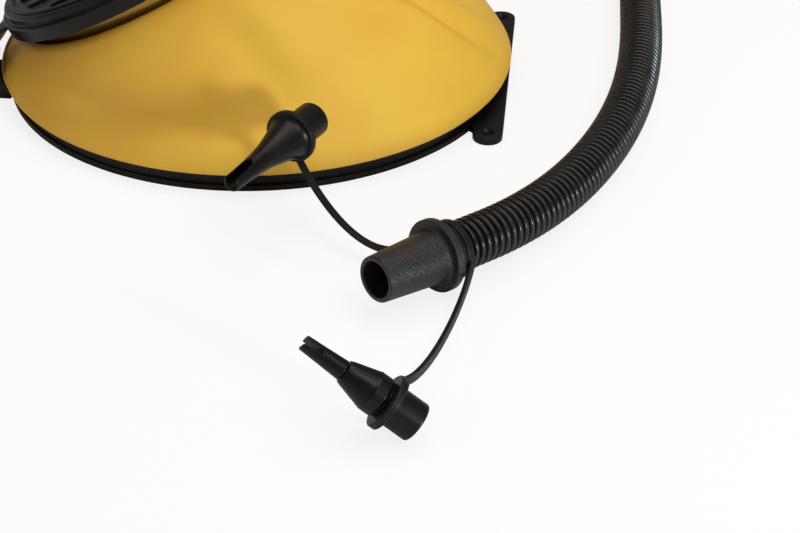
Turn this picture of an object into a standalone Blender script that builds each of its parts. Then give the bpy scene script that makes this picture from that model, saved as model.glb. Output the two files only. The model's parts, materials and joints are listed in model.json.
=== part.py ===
"""Foot pump with a wedge-shaped bellows, its ribbed hose, nozzle and two valve adapters.

Metres, +Z up.  The base plate lies on the floor with its centre at the origin.  The top
plate is hinged to it at -X and stands open; treading it down closes the wedge.  The
ribbed hose leaves the base at +Y, loops round the foot bar at +X and comes back to the
nozzle at -Y, where two straps hold the valve adapters.
"""
import math

import bmesh
import bpy
from mathutils import Matrix, Vector

COLLECTION = "bellows_foot_pump"
GAP = 0.0003

# Base plate, a dish standing on its outer lip
BASE_RADIUS = 0.150
BASE_WALL_RADIUS = 0.148
LIP_HEIGHT = 0.0035
LIP_INNER_RADIUS = 0.1445
RIM_TOP = 0.011
RIM_INNER_RADIUS = 0.139
FLOOR_TOP = 0.007
FLOOR_BOTTOM = 0.0036
CENTRE_FOOT_RADIUS = 0.014
PLATE_STEPS = 40

# Foot bar with its two screw ears at +X
BAR_EDGE_X = 0.15265
BAR_THICKNESS = 0.0042
EAR_RADIUS = 0.0086
EAR_Y = 0.0759
EAR_HOLE_RADIUS = 0.0025
EAR_SINK_RADIUS = 0.0042
EAR_SINK_DEPTH = 0.0017

# Hinge between the plates, its axis along Y
HINGE_X = -0.158
HINGE_Z = 0.018
OPEN_ANGLE = math.radians(27.7)
KNUCKLE_RADIUS = 0.0065
PIN_RADIUS = 0.003
PIN_HALF_LENGTH = 0.0655
KNUCKLE_SPANS = ((0.032, 0.040), (0.0408, 0.0532), (0.054, 0.062))

# Top plate, given closed: its centre, and heights above the hinge plane
TOP_CENTRE_X = -0.046
TOP_RADIUS = 0.0985
TOP_LIP_HEIGHT = 0.0046
TOP_LIP_INNER_RADIUS = 0.0970
TOP_FLANGE = (0.010, 0.013)
TOP_SKIN = (0.015, 0.018)
TOP_WALL_RADIUS = 0.0950
TOP_FLANGE_INNER_RADIUS = 0.0880
TOP_ARM_REACH = 0.0795
TREAD_HEIGHT = 0.0015
TREAD_PITCH = 0.018
TREAD_WIDTH = 0.007
TREAD_COUNT = 9

# Bellows skirt and the two rings that clamp its hems
SKIRT_THICKNESS = 0.0012
FOLD_RADIUS = 0.1532
RIDGE_RADIUS = 0.0912
RIDGE_SHARE = 0.942
VALLEY_RADIUS = 0.0862
VALLEY_DEPTH = 0.0060
TOP_FOLD_RADIUS = 0.0964
HEM_INNER_RADIUS = 0.1405
TOP_HEM_INNER_RADIUS = 0.0882
RING_OUTER_RADIUS = 0.145
RING_INNER_RADIUS = 0.1395
TOP_RING_OUTER_RADIUS = 0.0946
TOP_RING_INNER_RADIUS = 0.0884
RING_THICKNESS = 0.0020
SCREW_HEAD_HEIGHT = 0.0010
SCREW_COUNT = 6
FIRST_SCREW_ANGLE = math.radians(20.0)
SCREW_RADIUS = 0.0012
SCREW_HEAD_RADIUS = 0.0027

# Return spring, a cone of wire on an arc about the hinge, under the top plate's centre
SPRING_WIRE_RADIUS = 0.00175
SPRING_BASE_RADIUS = 0.038
SPRING_TOP_RADIUS = 0.016
SPRING_TURNS = 5.25
SPRING_POINTS_PER_TURN = 14

# Outlet duct, valve box and spigot at +Y
DUCT_HALF_WIDTH = 0.017
DUCT_TOP = 0.0095
BLOCK_Y = (0.1545, 0.168)
BLOCK_TOP = 0.026
SPIGOT_RADIUS = 0.0092
SPIGOT_BORE = 0.0065
SPIGOT_END_Y = 0.188
OUTLET_Z = 0.0162
DUCT_START_Y = 0.032
VALVE_BOX_Y = (0.034, 0.060)
VALVE_BOX_HALF_WIDTH = 0.0165
VALVE_BOX_HEIGHT = 0.0115

# Intake valve under the top plate
INTAKE_X = 0.012
INTAKE_FLAP_RADIUS = 0.017
INTAKE_HOLE_RADIUS = 0.003
INTAKE_HOLE_RING = 0.0085
INTAKE_HOLE_COUNT = 6

# Hose
HOSE_RADIUS = 0.013
HOSE_BORE = 0.0097
HOSE_START_Y = 0.1685
HOSE_STRAIGHT = 0.0215
HOSE_LOOP_RADIUS = 0.116
HOSE_DROP_LENGTH = 0.12
HOSE_SWEEP_START_Y = 0.0716
HOSE_SWEEP_LENGTH = 0.2945
HOSE_SWEEP_TURN = math.radians(42.6)
HOSE_SWEEP_POWER = 1.536
HOSE_TAIL = 0.018
HOSE_LIFT = 0.0041
HOSE_LIFT_LENGTH = 0.107

# Nozzle, measured along its axis from the middle of its flange
NOZZLE_FLANGE_RADIUS = 0.0186
NOZZLE_TIP = 0.0392
NOZZLE_NECK_RADIUS = 0.0115
NOZZLE_HOSE_END = -0.0142
NOZZLE_SPIGOT_END = -0.0300
STRAP_RING_RADIUS = 0.0152
STRAP_RING_BORE = 0.0119
STRAP_RING_A = (-0.0071, -0.0027)
STRAP_RING_B = (-0.0119, -0.0075)
STRAP_WIDTH = 0.0042
STRAP_THICKNESS = 0.0022

# Valve adapters, measured along their axes from the middle of the strap's eyelet
ADAPTER_SOCKET_RADIUS = 0.00935
ADAPTER_A_SOCKET_END = -0.0215
ADAPTER_B_SOCKET_END = -0.0160
ADAPTER_GROOVE_RADIUS = 0.0080
EYELET_A_RADIUS = 0.0141
EYELET_B_RADIUS = 0.0132
EYELET_BORE = 0.0084
EYELET_HALF_THICKNESS = 0.0019
ADAPTER_A_CENTRE = (0.0471, -0.1667, 0.0461)
ADAPTER_A_HEADING = math.radians(246.6)
ADAPTER_A_LENGTH = 0.0545
ADAPTER_A_SLIT_LENGTH = 0.0175
ADAPTER_B_CENTRE = (0.1164, -0.3413, 0.0173)
ADAPTER_B_HEADING = math.radians(175.4)
ADAPTER_B_RISE = math.radians(36.4)
ADAPTER_B_CONE_END = 0.0240
ADAPTER_B_TUBE_END = 0.0457


# ------------------------------------------------------------------ scene and materials


def clear_scene():
    for item in list(bpy.data.objects):
        bpy.data.objects.remove(item)


def new_collection(name):
    collection = bpy.data.collections.new(name)
    bpy.context.scene.collection.children.link(collection)
    return collection


def new_material(name, colour, roughness, metallic=0.0):
    material = bpy.data.materials.new(name)
    material.use_nodes = True
    surface = material.node_tree.nodes["Principled BSDF"]
    surface.inputs["Base Color"].default_value = (*colour, 1.0)
    surface.inputs["Roughness"].default_value = roughness
    surface.inputs["Metallic"].default_value = metallic
    return material


def add_object(name, data, material=None, collection=None, matrix=None):
    item = bpy.data.objects.new(name, data)
    (collection or parts).objects.link(item)
    if matrix is not None:
        item.matrix_world = matrix
    if material is not None:
        data.materials.append(material)
    return item


def mesh_from(bm, name):
    mesh = bpy.data.meshes.new(name)
    bmesh.ops.recalc_face_normals(bm, faces=bm.faces)
    bm.to_mesh(mesh)
    bm.free()
    return mesh


def shade(item, angle=35.0):
    item.data.shade_smooth()
    item.data.set_sharp_from_angle(angle=math.radians(angle))


def baked(item, weld=0.00001):
    """Replaces an object by one that holds its evaluated mesh, with loose caps welded."""
    bpy.context.view_layer.update()
    graph = bpy.context.evaluated_depsgraph_get()
    mesh = bpy.data.meshes.new_from_object(item.evaluated_get(graph))
    bm = bmesh.new()
    bm.from_mesh(mesh)
    bmesh.ops.remove_doubles(bm, verts=bm.verts, dist=weld)
    bmesh.ops.recalc_face_normals(bm, faces=bm.faces)
    bm.to_mesh(mesh)
    bm.free()
    name, matrix = item.name, item.matrix_world.copy()
    home = item.users_collection[0]
    bpy.data.objects.remove(item)
    return add_object(name, mesh, None, home, matrix)


def boolean(item, tool, operation):
    """Cuts item with tool or joins tool to it; the tool stays as a hidden guide."""
    for home in list(tool.users_collection):
        home.objects.unlink(tool)
    guides.objects.link(tool)
    tool.hide_render = True
    tool.display_type = "WIRE"
    modifier = item.modifiers.new(tool.name, "BOOLEAN")
    modifier.operation = operation
    modifier.object = tool
    modifier.solver = "EXACT"


def cut(item, tool):
    boolean(item, tool, "DIFFERENCE")


def join(item, tool):
    boolean(item, tool, "UNION")


# --------------------------------------------------------------------------- basic shapes


def frame_along(origin, direction):
    """A matrix whose Z axis is direction and whose X axis is level."""
    z = Vector(direction).normalized()
    x = Vector((0, 0, 1)).cross(z)
    if x.length < 1e-6:
        x = Vector((1, 0, 0))
    x.normalize()
    y = z.cross(x)
    rotation = Matrix((x, y, z)).transposed().to_4x4()
    return Matrix.Translation(Vector(origin)) @ rotation


def heading_vector(angle):
    return Vector((math.cos(angle), math.sin(angle), 0.0))


def turned(name, profile, steps, material=None, matrix=None):
    """A solid of revolution about local Z; profile is (radius, height) down its outside.

    A profile that doesn't end on the axis at both ends is closed into a ring.
    """
    mesh = bpy.data.meshes.new(name)
    points = [(radius, 0.0, height) for radius, height in profile]
    edges = [(i, i + 1) for i in range(len(points) - 1)]
    on_axis = profile[0][0] == 0.0 and profile[-1][0] == 0.0
    if not on_axis:
        edges.append((len(points) - 1, 0))
    mesh.from_pydata(points, edges, [])
    item = add_object(name, mesh, material, None, matrix)
    screw = item.modifiers.new("turn", "SCREW")
    screw.axis = "Z"
    screw.steps = steps
    screw.render_steps = steps
    screw.use_merge_vertices = True
    screw.merge_threshold = 0.00001
    screw.use_smooth_shade = True
    return item


def block(name, low, high, material=None, matrix=None):
    low, high = Vector(low), Vector(high)
    bm = bmesh.new()
    bmesh.ops.create_cube(bm, size=1.0)
    bmesh.ops.scale(bm, vec=high - low, verts=bm.verts)
    bmesh.ops.translate(bm, vec=(low + high) / 2, verts=bm.verts)
    return add_object(name, mesh_from(bm, name), material, None, matrix)


def rod(name, radius, start, end, segments=24, material=None, end_radius=None):
    """A cylinder or a cone between two points."""
    start, end = Vector(start), Vector(end)
    length = (end - start).length
    bm = bmesh.new()
    bmesh.ops.create_cone(
        bm, cap_ends=True, segments=segments, radius1=radius,
        radius2=radius if end_radius is None else end_radius, depth=length,
    )
    bmesh.ops.translate(bm, vec=(0, 0, length / 2), verts=bm.verts)
    mesh = mesh_from(bm, name)
    return add_object(name, mesh, material, None, frame_along(start, end - start))


def outline(name, points, thickness, matrix=None):
    """A flat plate from a closed outline in its local XY, centred on its thickness."""
    curve = bpy.data.curves.new(name, "CURVE")
    curve.dimensions = "2D"
    curve.fill_mode = "BOTH"
    curve.extrude = thickness / 2
    curve.resolution_u = 1
    curve.render_resolution_u = 0
    spline = curve.splines.new("POLY")
    spline.points.add(len(points) - 1)
    for slot, (x, y) in zip(spline.points, points):
        slot.co = (x, y, 0, 1)
    spline.use_cyclic_u = True
    item = add_object(name, curve, None, None, matrix)
    return baked(item)


def arc(centre, radius, start, end, count):
    """Points of an arc in a plane, angles in degrees."""
    return [
        (
            centre[0] + radius * math.cos(math.radians(start + (end - start) * i / count)),
            centre[1] + radius * math.sin(math.radians(start + (end - start) * i / count)),
        )
        for i in range(count + 1)
    ]


def bezier(points, count):
    """Points along a cubic Bezier curve."""
    a, b, c, d = (Vector(point) for point in points)
    path = []
    for i in range(count + 1):
        t = i / count
        s = 1 - t
        path.append(a * s**3 + b * 3 * s * s * t + c * 3 * s * t * t + d * t**3)
    return path


def wire(name, path, radius, resolution=2, caps=True, material=None):
    """A round bar along a path."""
    curve = bpy.data.curves.new(name, "CURVE")
    curve.dimensions = "3D"
    curve.bevel_depth = radius
    curve.bevel_resolution = resolution
    curve.use_fill_caps = caps
    curve.resolution_u = 1
    curve.render_resolution_u = 0
    spline = curve.splines.new("POLY")
    spline.points.add(len(path) - 1)
    for slot, point in zip(spline.points, path):
        slot.co = (*point, 1)
    return add_object(name, curve, material)


def band(name, path, width, thickness, first_normal, last_normal):
    """A flat strap along a path; its flat side turns from one normal to the other."""
    bm = bmesh.new()
    rings = []
    for i, point in enumerate(path):
        before, after = path[max(i - 1, 0)], path[min(i + 1, len(path) - 1)]
        along = (after - before).normalized()
        normal = Vector(first_normal).lerp(Vector(last_normal), i / (len(path) - 1))
        side = along.cross(normal).normalized()
        up = side.cross(along)
        corners = ((-1, -1), (1, -1), (1, 1), (-1, 1))
        rings.append([
            bm.verts.new(point + side * (width / 2 * a) + up * (thickness / 2 * b))
            for a, b in corners
        ])
    for one, two in zip(rings, rings[1:]):
        for k in range(4):
            bm.faces.new((one[k], one[(k + 1) % 4], two[(k + 1) % 4], two[k]))
    bm.faces.new(rings[0])
    bm.faces.new(rings[-1])
    return add_object(name, mesh_from(bm, name))


# ------------------------------------------------------------------------------ the plates


def closed_to_open(share=1.0):
    """Turns what is placed on the closed top plate up about the hinge axis."""
    pivot = Matrix.Translation((HINGE_X, 0, HINGE_Z))
    return pivot @ Matrix.Rotation(-OPEN_ANGLE * share, 4, "Y") @ pivot.inverted()


def foot_bar():
    """The flat bar between the screw ears, with a hollow corner where it meets the disc."""
    ear_x = BAR_EDGE_X - EAR_RADIUS
    corner = 0.0048
    inner_x = ear_x - EAR_RADIUS
    half = [(BAR_EDGE_X, 0.0)]
    half += arc((ear_x, EAR_Y), EAR_RADIUS, 0, 180, 10)
    reach = inner_x - corner
    start_y = EAR_Y - 0.0022
    half += arc((reach, start_y), corner, 0, -90, 4)
    half += [(reach - 0.012, start_y - corner), (reach - 0.012, 0.0)]
    mirrored = [(x, -y) for x, y in reversed(half[1:-1])]
    lift = Matrix.Translation((0, 0, BAR_THICKNESS / 2))
    return outline("foot_bar", half + mirrored, BAR_THICKNESS, lift)


def ear_hole(name, y):
    ear_x = BAR_EDGE_X - EAR_RADIUS
    sink = BAR_THICKNESS - EAR_SINK_DEPTH
    profile = [
        (0.0, BAR_THICKNESS + 0.001), (EAR_SINK_RADIUS + 0.001, BAR_THICKNESS + 0.001),
        (EAR_SINK_RADIUS, BAR_THICKNESS), (EAR_HOLE_RADIUS, sink),
        (EAR_HOLE_RADIUS, -0.001), (0.0, -0.001),
    ]
    return turned(name, profile, 16, None, Matrix.Translation((ear_x, y, 0)))


def base_knuckle(name, low_y, high_y):
    """A hinge knuckle on an upright that stands behind the skirt's lower fold."""
    reach = HINGE_X + 0.0052
    profile = [(HINGE_X + KNUCKLE_RADIUS * math.cos(math.radians(a)),
                HINGE_Z + KNUCKLE_RADIUS * math.sin(math.radians(a)))
               for a in range(0, 181, 20)]
    profile += [(HINGE_X - KNUCKLE_RADIUS, 0.0), (-0.138, 0.0), (-0.138, 0.0102)]
    profile += [(reach, 0.0102)]
    return upright(name, profile, low_y, high_y)


def upright(name, profile, low_y, high_y):
    """A plate cut to an outline in X and Z, standing between two Y values."""
    turn = Matrix.Rotation(math.radians(90), 4, "X")
    place = Matrix.Translation((0, (low_y + high_y) / 2, 0)) @ turn
    return outline(name, profile, high_y - low_y, place)


def top_knuckle(name, low_y, high_y):
    """The top plate's hinge knuckle and its arm into the flange, in the closed position."""
    arm_end = TOP_CENTRE_X - TOP_ARM_REACH
    rim_z = HINGE_Z + TOP_FLANGE[0] + 0.0004
    top_z = HINGE_Z + TOP_FLANGE[1] - 0.0004
    profile = [(HINGE_X + KNUCKLE_RADIUS * math.cos(math.radians(a)),
                HINGE_Z + KNUCKLE_RADIUS * math.sin(math.radians(a)))
               for a in range(150, 381, 20)]
    profile += [(HINGE_X + 0.0063, rim_z), (arm_end, rim_z), (arm_end, top_z)]
    profile += [(HINGE_X - 0.0015, top_z)]
    return upright(name, profile, low_y, high_y)


def both_sides(spans):
    for low, high in spans:
        yield low, high
        yield -high, -low


def outlet_block(name):
    """The duct under the rim and the block outside it that carries the hose spigot."""
    item = block(name, (-DUCT_HALF_WIDTH, DUCT_START_Y, 0.0),
                 (DUCT_HALF_WIDTH, BLOCK_Y[1], DUCT_TOP))
    riser = block(
        "outlet_riser", (-DUCT_HALF_WIDTH, BLOCK_Y[0], 0.001),
        (DUCT_HALF_WIDTH, BLOCK_Y[1] + 0.0004, BLOCK_TOP),
    )
    spigot = rod(
        "outlet_spigot", SPIGOT_RADIUS, (0, BLOCK_Y[1] - 0.004, OUTLET_Z),
        (0, SPIGOT_END_Y, OUTLET_Z), 20,
    )
    join(item, riser)
    join(item, spigot)
    return item


def outlet_passages():
    """The hollow from the valve box's opening to the spigot's mouth."""
    mouth_y = (VALVE_BOX_Y[0] + 0.007, VALVE_BOX_Y[1] - 0.005)
    slot = block("outlet_slot", (-0.012, mouth_y[0] - 0.001, 0.003), (0.012, 0.163, 0.0075))
    mouth = block("outlet_mouth", (-0.0115, mouth_y[0], 0.005), (0.0115, mouth_y[1], 0.012))
    chamber = block("outlet_chamber", (-0.0095, 0.1575, 0.0045), (0.0095, 0.1645, 0.0205))
    bore = rod(
        "outlet_bore", SPIGOT_BORE, (0, 0.1610, OUTLET_Z),
        (0, SPIGOT_END_Y + 0.002, OUTLET_Z), 16,
    )
    return slot, mouth, chamber, bore


def screw_places(radius):
    step = 2 * math.pi / SCREW_COUNT
    return [
        (radius * math.cos(step * i + FIRST_SCREW_ANGLE),
         radius * math.sin(step * i + FIRST_SCREW_ANGLE))
        for i in range(SCREW_COUNT)
    ]


def base_plate(material):
    profile = [
        (0.0, FLOOR_TOP), (RIM_INNER_RADIUS, FLOOR_TOP), (RIM_INNER_RADIUS, RIM_TOP),
        (BASE_WALL_RADIUS - 0.0008, RIM_TOP), (BASE_WALL_RADIUS, RIM_TOP - 0.0008),
        (BASE_WALL_RADIUS, LIP_HEIGHT + 0.0007), (BASE_RADIUS, LIP_HEIGHT),
        (BASE_RADIUS, 0.0), (LIP_INNER_RADIUS, 0.0), (LIP_INNER_RADIUS, FLOOR_BOTTOM),
        (0.0, FLOOR_BOTTOM),
    ]
    item = turned("base_plate", profile, PLATE_STEPS, material)
    join(item, foot_bar())
    for i, (low, high) in enumerate(both_sides(KNUCKLE_SPANS[0::2])):
        join(item, base_knuckle(f"base_knuckle_{i + 1}", low, high))
    join(item, baked(outlet_block("outlet_block")))
    seat = [
        (0.0448, FLOOR_TOP + 0.003), (0.0448, FLOOR_TOP - 0.001),
        (0.0422, FLOOR_TOP - 0.001), (0.0422, FLOOR_TOP + 0.003),
    ]
    join(item, turned("spring_seat", seat, 24, None, Matrix.Translation((TOP_CENTRE_X, 0, 0))))
    join(item, rod("centre_foot", CENTRE_FOOT_RADIUS, (0, 0, 0), (0, 0, FLOOR_TOP - 0.001), 20))
    for tool in outlet_passages():
        cut(item, tool)
    for i, side in enumerate((-1, 1)):
        cut(item, ear_hole(f"ear_hole_{i + 1}", side * EAR_Y))
    cut(item, rod("pin_bore_base", PIN_RADIUS + GAP, (HINGE_X, -0.07, HINGE_Z),
                  (HINGE_X, 0.07, HINGE_Z)))
    for i, (x, y) in enumerate(screw_places(screw_circle())):
        cut(item, rod(f"base_screw_hole_{i + 1}", SCREW_RADIUS + GAP,
                      (x, y, RIM_TOP - 0.0055), (x, y, RIM_TOP + 0.001), 8))
    return item


def screw_circle():
    return (RING_INNER_RADIUS + RING_OUTER_RADIUS) / 2


def top_plate(material):
    """The tread plate: a flange over the skirt, a raised skin with ribs and hinge arms."""
    flange_low, flange_high = (HINGE_Z + h for h in TOP_FLANGE)
    skin_low, skin_high = (HINGE_Z + h for h in TOP_SKIN)
    profile = [
        (0.0, skin_high), (TOP_WALL_RADIUS - 0.0012, skin_high),
        (TOP_WALL_RADIUS, skin_high - 0.0012), (TOP_WALL_RADIUS, flange_high),
        (TOP_RADIUS, flange_high), (TOP_RADIUS, HINGE_Z + TOP_LIP_HEIGHT),
        (TOP_LIP_INNER_RADIUS, HINGE_Z + TOP_LIP_HEIGHT), (TOP_LIP_INNER_RADIUS, flange_low),
        (TOP_FLANGE_INNER_RADIUS, flange_low), (TOP_FLANGE_INNER_RADIUS, skin_low),
        (0.0, skin_low),
    ]
    item = turned("top_plate", profile, PLATE_STEPS, material, over_top_centre())
    for i, y in enumerate(tread_rows()):
        half = math.sqrt((TOP_WALL_RADIUS - 0.012) ** 2 - y * y)
        join(item, block(
            f"tread_rib_{i + 1}", (-half, y - TREAD_WIDTH / 2, skin_high - 0.001),
            (half, y + TREAD_WIDTH / 2, skin_high + TREAD_HEIGHT), None, over_top_centre(),
        ))
    for i, (low, high) in enumerate(both_sides(KNUCKLE_SPANS[1:2])):
        join(item, top_knuckle(f"top_knuckle_{i + 1}", low, high))
    boss_radius = SPRING_TOP_RADIUS - SPRING_WIRE_RADIUS - 0.0008
    join(item, rod("spring_boss", boss_radius, (TOP_CENTRE_X, 0, skin_low - 0.003),
                   (TOP_CENTRE_X, 0, skin_low + 0.001)))
    cut(item, rod("pin_bore_top", PIN_RADIUS + GAP, (HINGE_X, -0.07, HINGE_Z),
                  (HINGE_X, 0.07, HINGE_Z)))
    for i in range(INTAKE_HOLE_COUNT):
        angle = 2 * math.pi * (i + 0.5) / INTAKE_HOLE_COUNT
        x = INTAKE_X + INTAKE_HOLE_RING * math.cos(angle)
        y = INTAKE_HOLE_RING * math.sin(angle)
        cut(item, rod(f"intake_hole_{i + 1}", INTAKE_HOLE_RADIUS,
                      (x, y, skin_low - 0.001), (x, y, skin_high + 0.004), 12))
    for i, (x, y) in enumerate(screw_places(top_screw_circle())):
        x += TOP_CENTRE_X
        cut(item, rod(f"top_screw_hole_{i + 1}", SCREW_RADIUS + GAP,
                      (x, y, flange_low - 0.001), (x, y, flange_low + 0.0045), 8))
    item.matrix_world = closed_to_open() @ over_top_centre()
    for child in list(guides.objects):
        if child.name.startswith(TOP_GUIDES):
            child.matrix_world = closed_to_open() @ child.matrix_world
    return item


TOP_GUIDES = ("tread_rib", "top_knuckle", "spring_boss", "pin_bore_top", "intake_hole",
              "top_screw_hole")


def over_top_centre():
    return Matrix.Translation((TOP_CENTRE_X, 0, 0))


def tread_rows():
    return [TREAD_PITCH * (i - (TREAD_COUNT - 1) / 2) for i in range(TREAD_COUNT)]


def top_screw_circle():
    return (TOP_RING_INNER_RADIUS + TOP_RING_OUTER_RADIUS) / 2


def clamp_ring(name, inner, outer, low, high, circle, material, matrix=None):
    """A flat ring that clamps a hem of the skirt to its plate, with its screw holes."""
    profile = [(outer, high), (outer, low), (inner, low), (inner, high)]
    item = turned(name, profile, PLATE_STEPS, material)
    for i, (x, y) in enumerate(screw_places(circle)):
        tool = rod(f"{name}_hole_{i + 1}", SCREW_RADIUS + GAP, (x, y, low - 0.001),
                   (x, y, high + 0.001), 8)
        cut(item, tool)
        if matrix is not None:
            tool.matrix_world = matrix @ tool.matrix_world
    if matrix is not None:
        item.matrix_world = matrix
    return item


def ring_screw(name, place, head_low, head_high, tip, material, matrix=None):
    """A pan-head screw through a clamp ring; tip is the height its shank reaches."""
    x, y = place
    toward = 1.0 if tip < head_low else -1.0
    under, over = (head_low, head_high) if toward > 0 else (head_high, head_low)
    profile = [
        (0.0, over), (SCREW_HEAD_RADIUS * 0.8, over), (SCREW_HEAD_RADIUS, under),
        (SCREW_RADIUS, under), (SCREW_RADIUS, tip), (0.0, tip),
    ]
    if toward < 0:
        profile.reverse()
    place_matrix = Matrix.Translation((x, y, 0))
    if matrix is not None:
        place_matrix = matrix @ place_matrix
    return turned(name, profile, 8, material, place_matrix)


# ----------------------------------------------------------------------- bellows and spring


def skirt_section():
    """The skirt's outer face from the base hem to the top hem.

    Each entry is a circle's centre along X, its radius, a height above the hinge plane and a
    share of the opening angle.  The wall leans in to a ridge, drops into a narrow valley
    and comes out again under the top plate's rim.
    """
    base_top = RIM_TOP + GAP - HINGE_Z
    hem = base_top + SKIRT_THICKNESS
    top_hem = TOP_FLANGE[0] - GAP
    rows = [
        (0.0, HEM_INNER_RADIUS, base_top, 0.0),
        (0.0, FOLD_RADIUS - 0.0030, base_top, 0.0),
        (0.0, FOLD_RADIUS, base_top + 0.0005, 0.0),
        (0.0, FOLD_RADIUS - 0.0003, hem + 0.0008, 0.0),
    ]
    count = 5
    for i in range(1, count + 1):
        share = i / count
        bulge = 0.0020 * math.sin(math.pi * share)
        rows.append((
            TOP_CENTRE_X * share, FOLD_RADIUS + (RIDGE_RADIUS - FOLD_RADIUS) * share + bulge,
            hem * (1 - share), RIDGE_SHARE * share,
        ))
    rest = [
        (VALLEY_RADIUS + 0.0008, 0.0008 - VALLEY_DEPTH, RIDGE_SHARE),
        (VALLEY_RADIUS, -VALLEY_DEPTH, RIDGE_SHARE),
        (VALLEY_RADIUS, 0.0020, 0.985),
        (TOP_FOLD_RADIUS - 0.0022, 0.0032, 1.0),
        (TOP_FOLD_RADIUS, 0.0052, 1.0),
        (TOP_FOLD_RADIUS - 0.0004, top_hem, 1.0),
        (TOP_HEM_INNER_RADIUS, top_hem, 1.0),
    ]
    return rows + [(TOP_CENTRE_X, *row) for row in rest]


def wedge_point(centre, radius, height, share, angle):
    """A point of the wedge: on a circle in the plane turned up by share of the opening."""
    tilt = OPEN_ANGLE * share
    reach = centre + radius * math.cos(angle) - HINGE_X
    x = HINGE_X + reach * math.cos(tilt) - height * math.sin(tilt)
    z = HINGE_Z + reach * math.sin(tilt) + height * math.cos(tilt)
    return Vector((x, radius * math.sin(angle), z))


def bellows_skirt(material):
    """A thin skirt lofted between the flat base hem and the tilted top hem."""
    steps = PLATE_STEPS
    bm = bmesh.new()
    loops = []
    for k in range(steps):
        angle = 2 * math.pi * k / steps
        outer = [wedge_point(*row, angle) for row in skirt_section()]
        inner = []
        for i, point in enumerate(outer):
            before, after = outer[max(i - 1, 0)], outer[min(i + 1, len(outer) - 1)]
            along = (after - before).normalized()
            round_way = Vector((-math.sin(angle), math.cos(angle), 0))
            inward = along.cross(round_way).normalized()
            inner.append(point + inward * SKIRT_THICKNESS)
        loops.append([bm.verts.new(p) for p in outer + inner[::-1]])
    for k in range(steps):
        one, two = loops[k], loops[(k + 1) % steps]
        for i in range(len(one)):
            j = (i + 1) % len(one)
            bm.faces.new((one[i], one[j], two[j], two[i]))
    item = add_object("bellows_skirt", mesh_from(bm, "bellows_skirt"), material)
    shade(item)
    for i, (x, y) in enumerate(screw_places(screw_circle())):
        cut(item, rod(f"base_hem_hole_{i + 1}", SCREW_RADIUS + GAP,
                      (x, y, RIM_TOP - 0.001), (x, y, RIM_TOP + 0.0025), 8))
    top = HINGE_Z + TOP_FLANGE[0]
    for i, (x, y) in enumerate(screw_places(top_screw_circle())):
        tool = rod(f"top_hem_hole_{i + 1}", SCREW_RADIUS + GAP, (x, y, top - 0.0025),
                   (x, y, top + 0.001), 8)
        tool.matrix_world = closed_to_open() @ over_top_centre() @ tool.matrix_world
        cut(item, tool)
    return item


def spring_path():
    """The coil's centreline, from the base plate's floor up to the top plate's skin."""
    low = FLOOR_TOP + GAP + SPRING_WIRE_RADIUS - HINGE_Z
    high = TOP_SKIN[0] - GAP - SPRING_WIRE_RADIUS
    count = int(SPRING_TURNS * SPRING_POINTS_PER_TURN)
    flat_turns = 0.8
    path = []
    for i in range(count + 1):
        turn = SPRING_TURNS * i / count
        share = (turn - flat_turns) / (SPRING_TURNS - 2 * flat_turns)
        share = min(max(share, 0.0), 1.0)
        radius = SPRING_BASE_RADIUS + (SPRING_TOP_RADIUS - SPRING_BASE_RADIUS) * share
        height = low + (high - low) * share
        path.append(wedge_point(TOP_CENTRE_X, radius, height, share, 2 * math.pi * turn))
    return path


def return_spring(material):
    return wire("return_spring", spring_path(), SPRING_WIRE_RADIUS, 1, True, material)


def hinge_pin(material):
    """The hinge's steel pin, with a flat head at -Y."""
    profile = [
        (0.0, 2 * PIN_HALF_LENGTH), (PIN_RADIUS - 0.0006, 2 * PIN_HALF_LENGTH),
        (PIN_RADIUS, 2 * PIN_HALF_LENGTH - 0.0006), (PIN_RADIUS, 0.0),
        (0.0052, 0.0), (0.0052, -0.0014), (0.0044, -0.002), (0.0, -0.002),
    ]
    start = KNUCKLE_SPANS[2][1] + GAP
    place = frame_along((HINGE_X, -start, HINGE_Z), (0, 1, 0))
    return turned("hinge_pin", profile, 24, material, place)


def hinge_pin_washer(material):
    """The push-on washer that keeps the pin in at +Y."""
    profile = [
        (0.0058, 0.0012), (0.0058, 0.0), (PIN_RADIUS + GAP, 0.0),
        (PIN_RADIUS + GAP, 0.0016), (0.0044, 0.0016),
    ]
    place = frame_along((HINGE_X, KNUCKLE_SPANS[2][1] + GAP, HINGE_Z), (0, 1, 0))
    return turned("hinge_pin_washer", profile, 24, material, place)


# --------------------------------------------------------------------------------- valves


def intake_flap(material):
    """The rubber disc that covers the intake holes, with a bead along its hinge edge."""
    skin = HINGE_Z + TOP_SKIN[0]
    bead_radius = 0.0014
    bead_z = skin - GAP - bead_radius
    bead_x = INTAKE_X - INTAKE_FLAP_RADIUS - 0.0035
    item = rod("intake_flap", INTAKE_FLAP_RADIUS, (INTAKE_X, 0, bead_z - 0.0007),
               (INTAKE_X, 0, bead_z + 0.0007), 32, material)
    item = baked(item)
    tongue = block("flap_tongue", (bead_x, -0.007, bead_z - 0.0006),
                   (INTAKE_X - INTAKE_FLAP_RADIUS + 0.004, 0.007, bead_z + 0.0006))
    bead = rod("flap_bead", bead_radius, (bead_x, -0.009, bead_z), (bead_x, 0.009, bead_z), 12)
    join(item, tongue)
    join(item, bead)
    return place_on_top(item, (tongue, bead), (bead_x, 0, bead_z), material)


def place_on_top(item, tools, pivot, material):
    """Bakes a piece built in the closed position, puts its origin at pivot and tilts it."""
    item = baked(item)
    item.data.transform(Matrix.Translation(-Vector(pivot)) @ item.matrix_world)
    item.matrix_world = closed_to_open() @ Matrix.Translation(pivot)
    item.data.materials.clear()
    item.data.materials.append(material)
    for tool in tools:
        bpy.data.objects.remove(tool)
    return item


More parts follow.
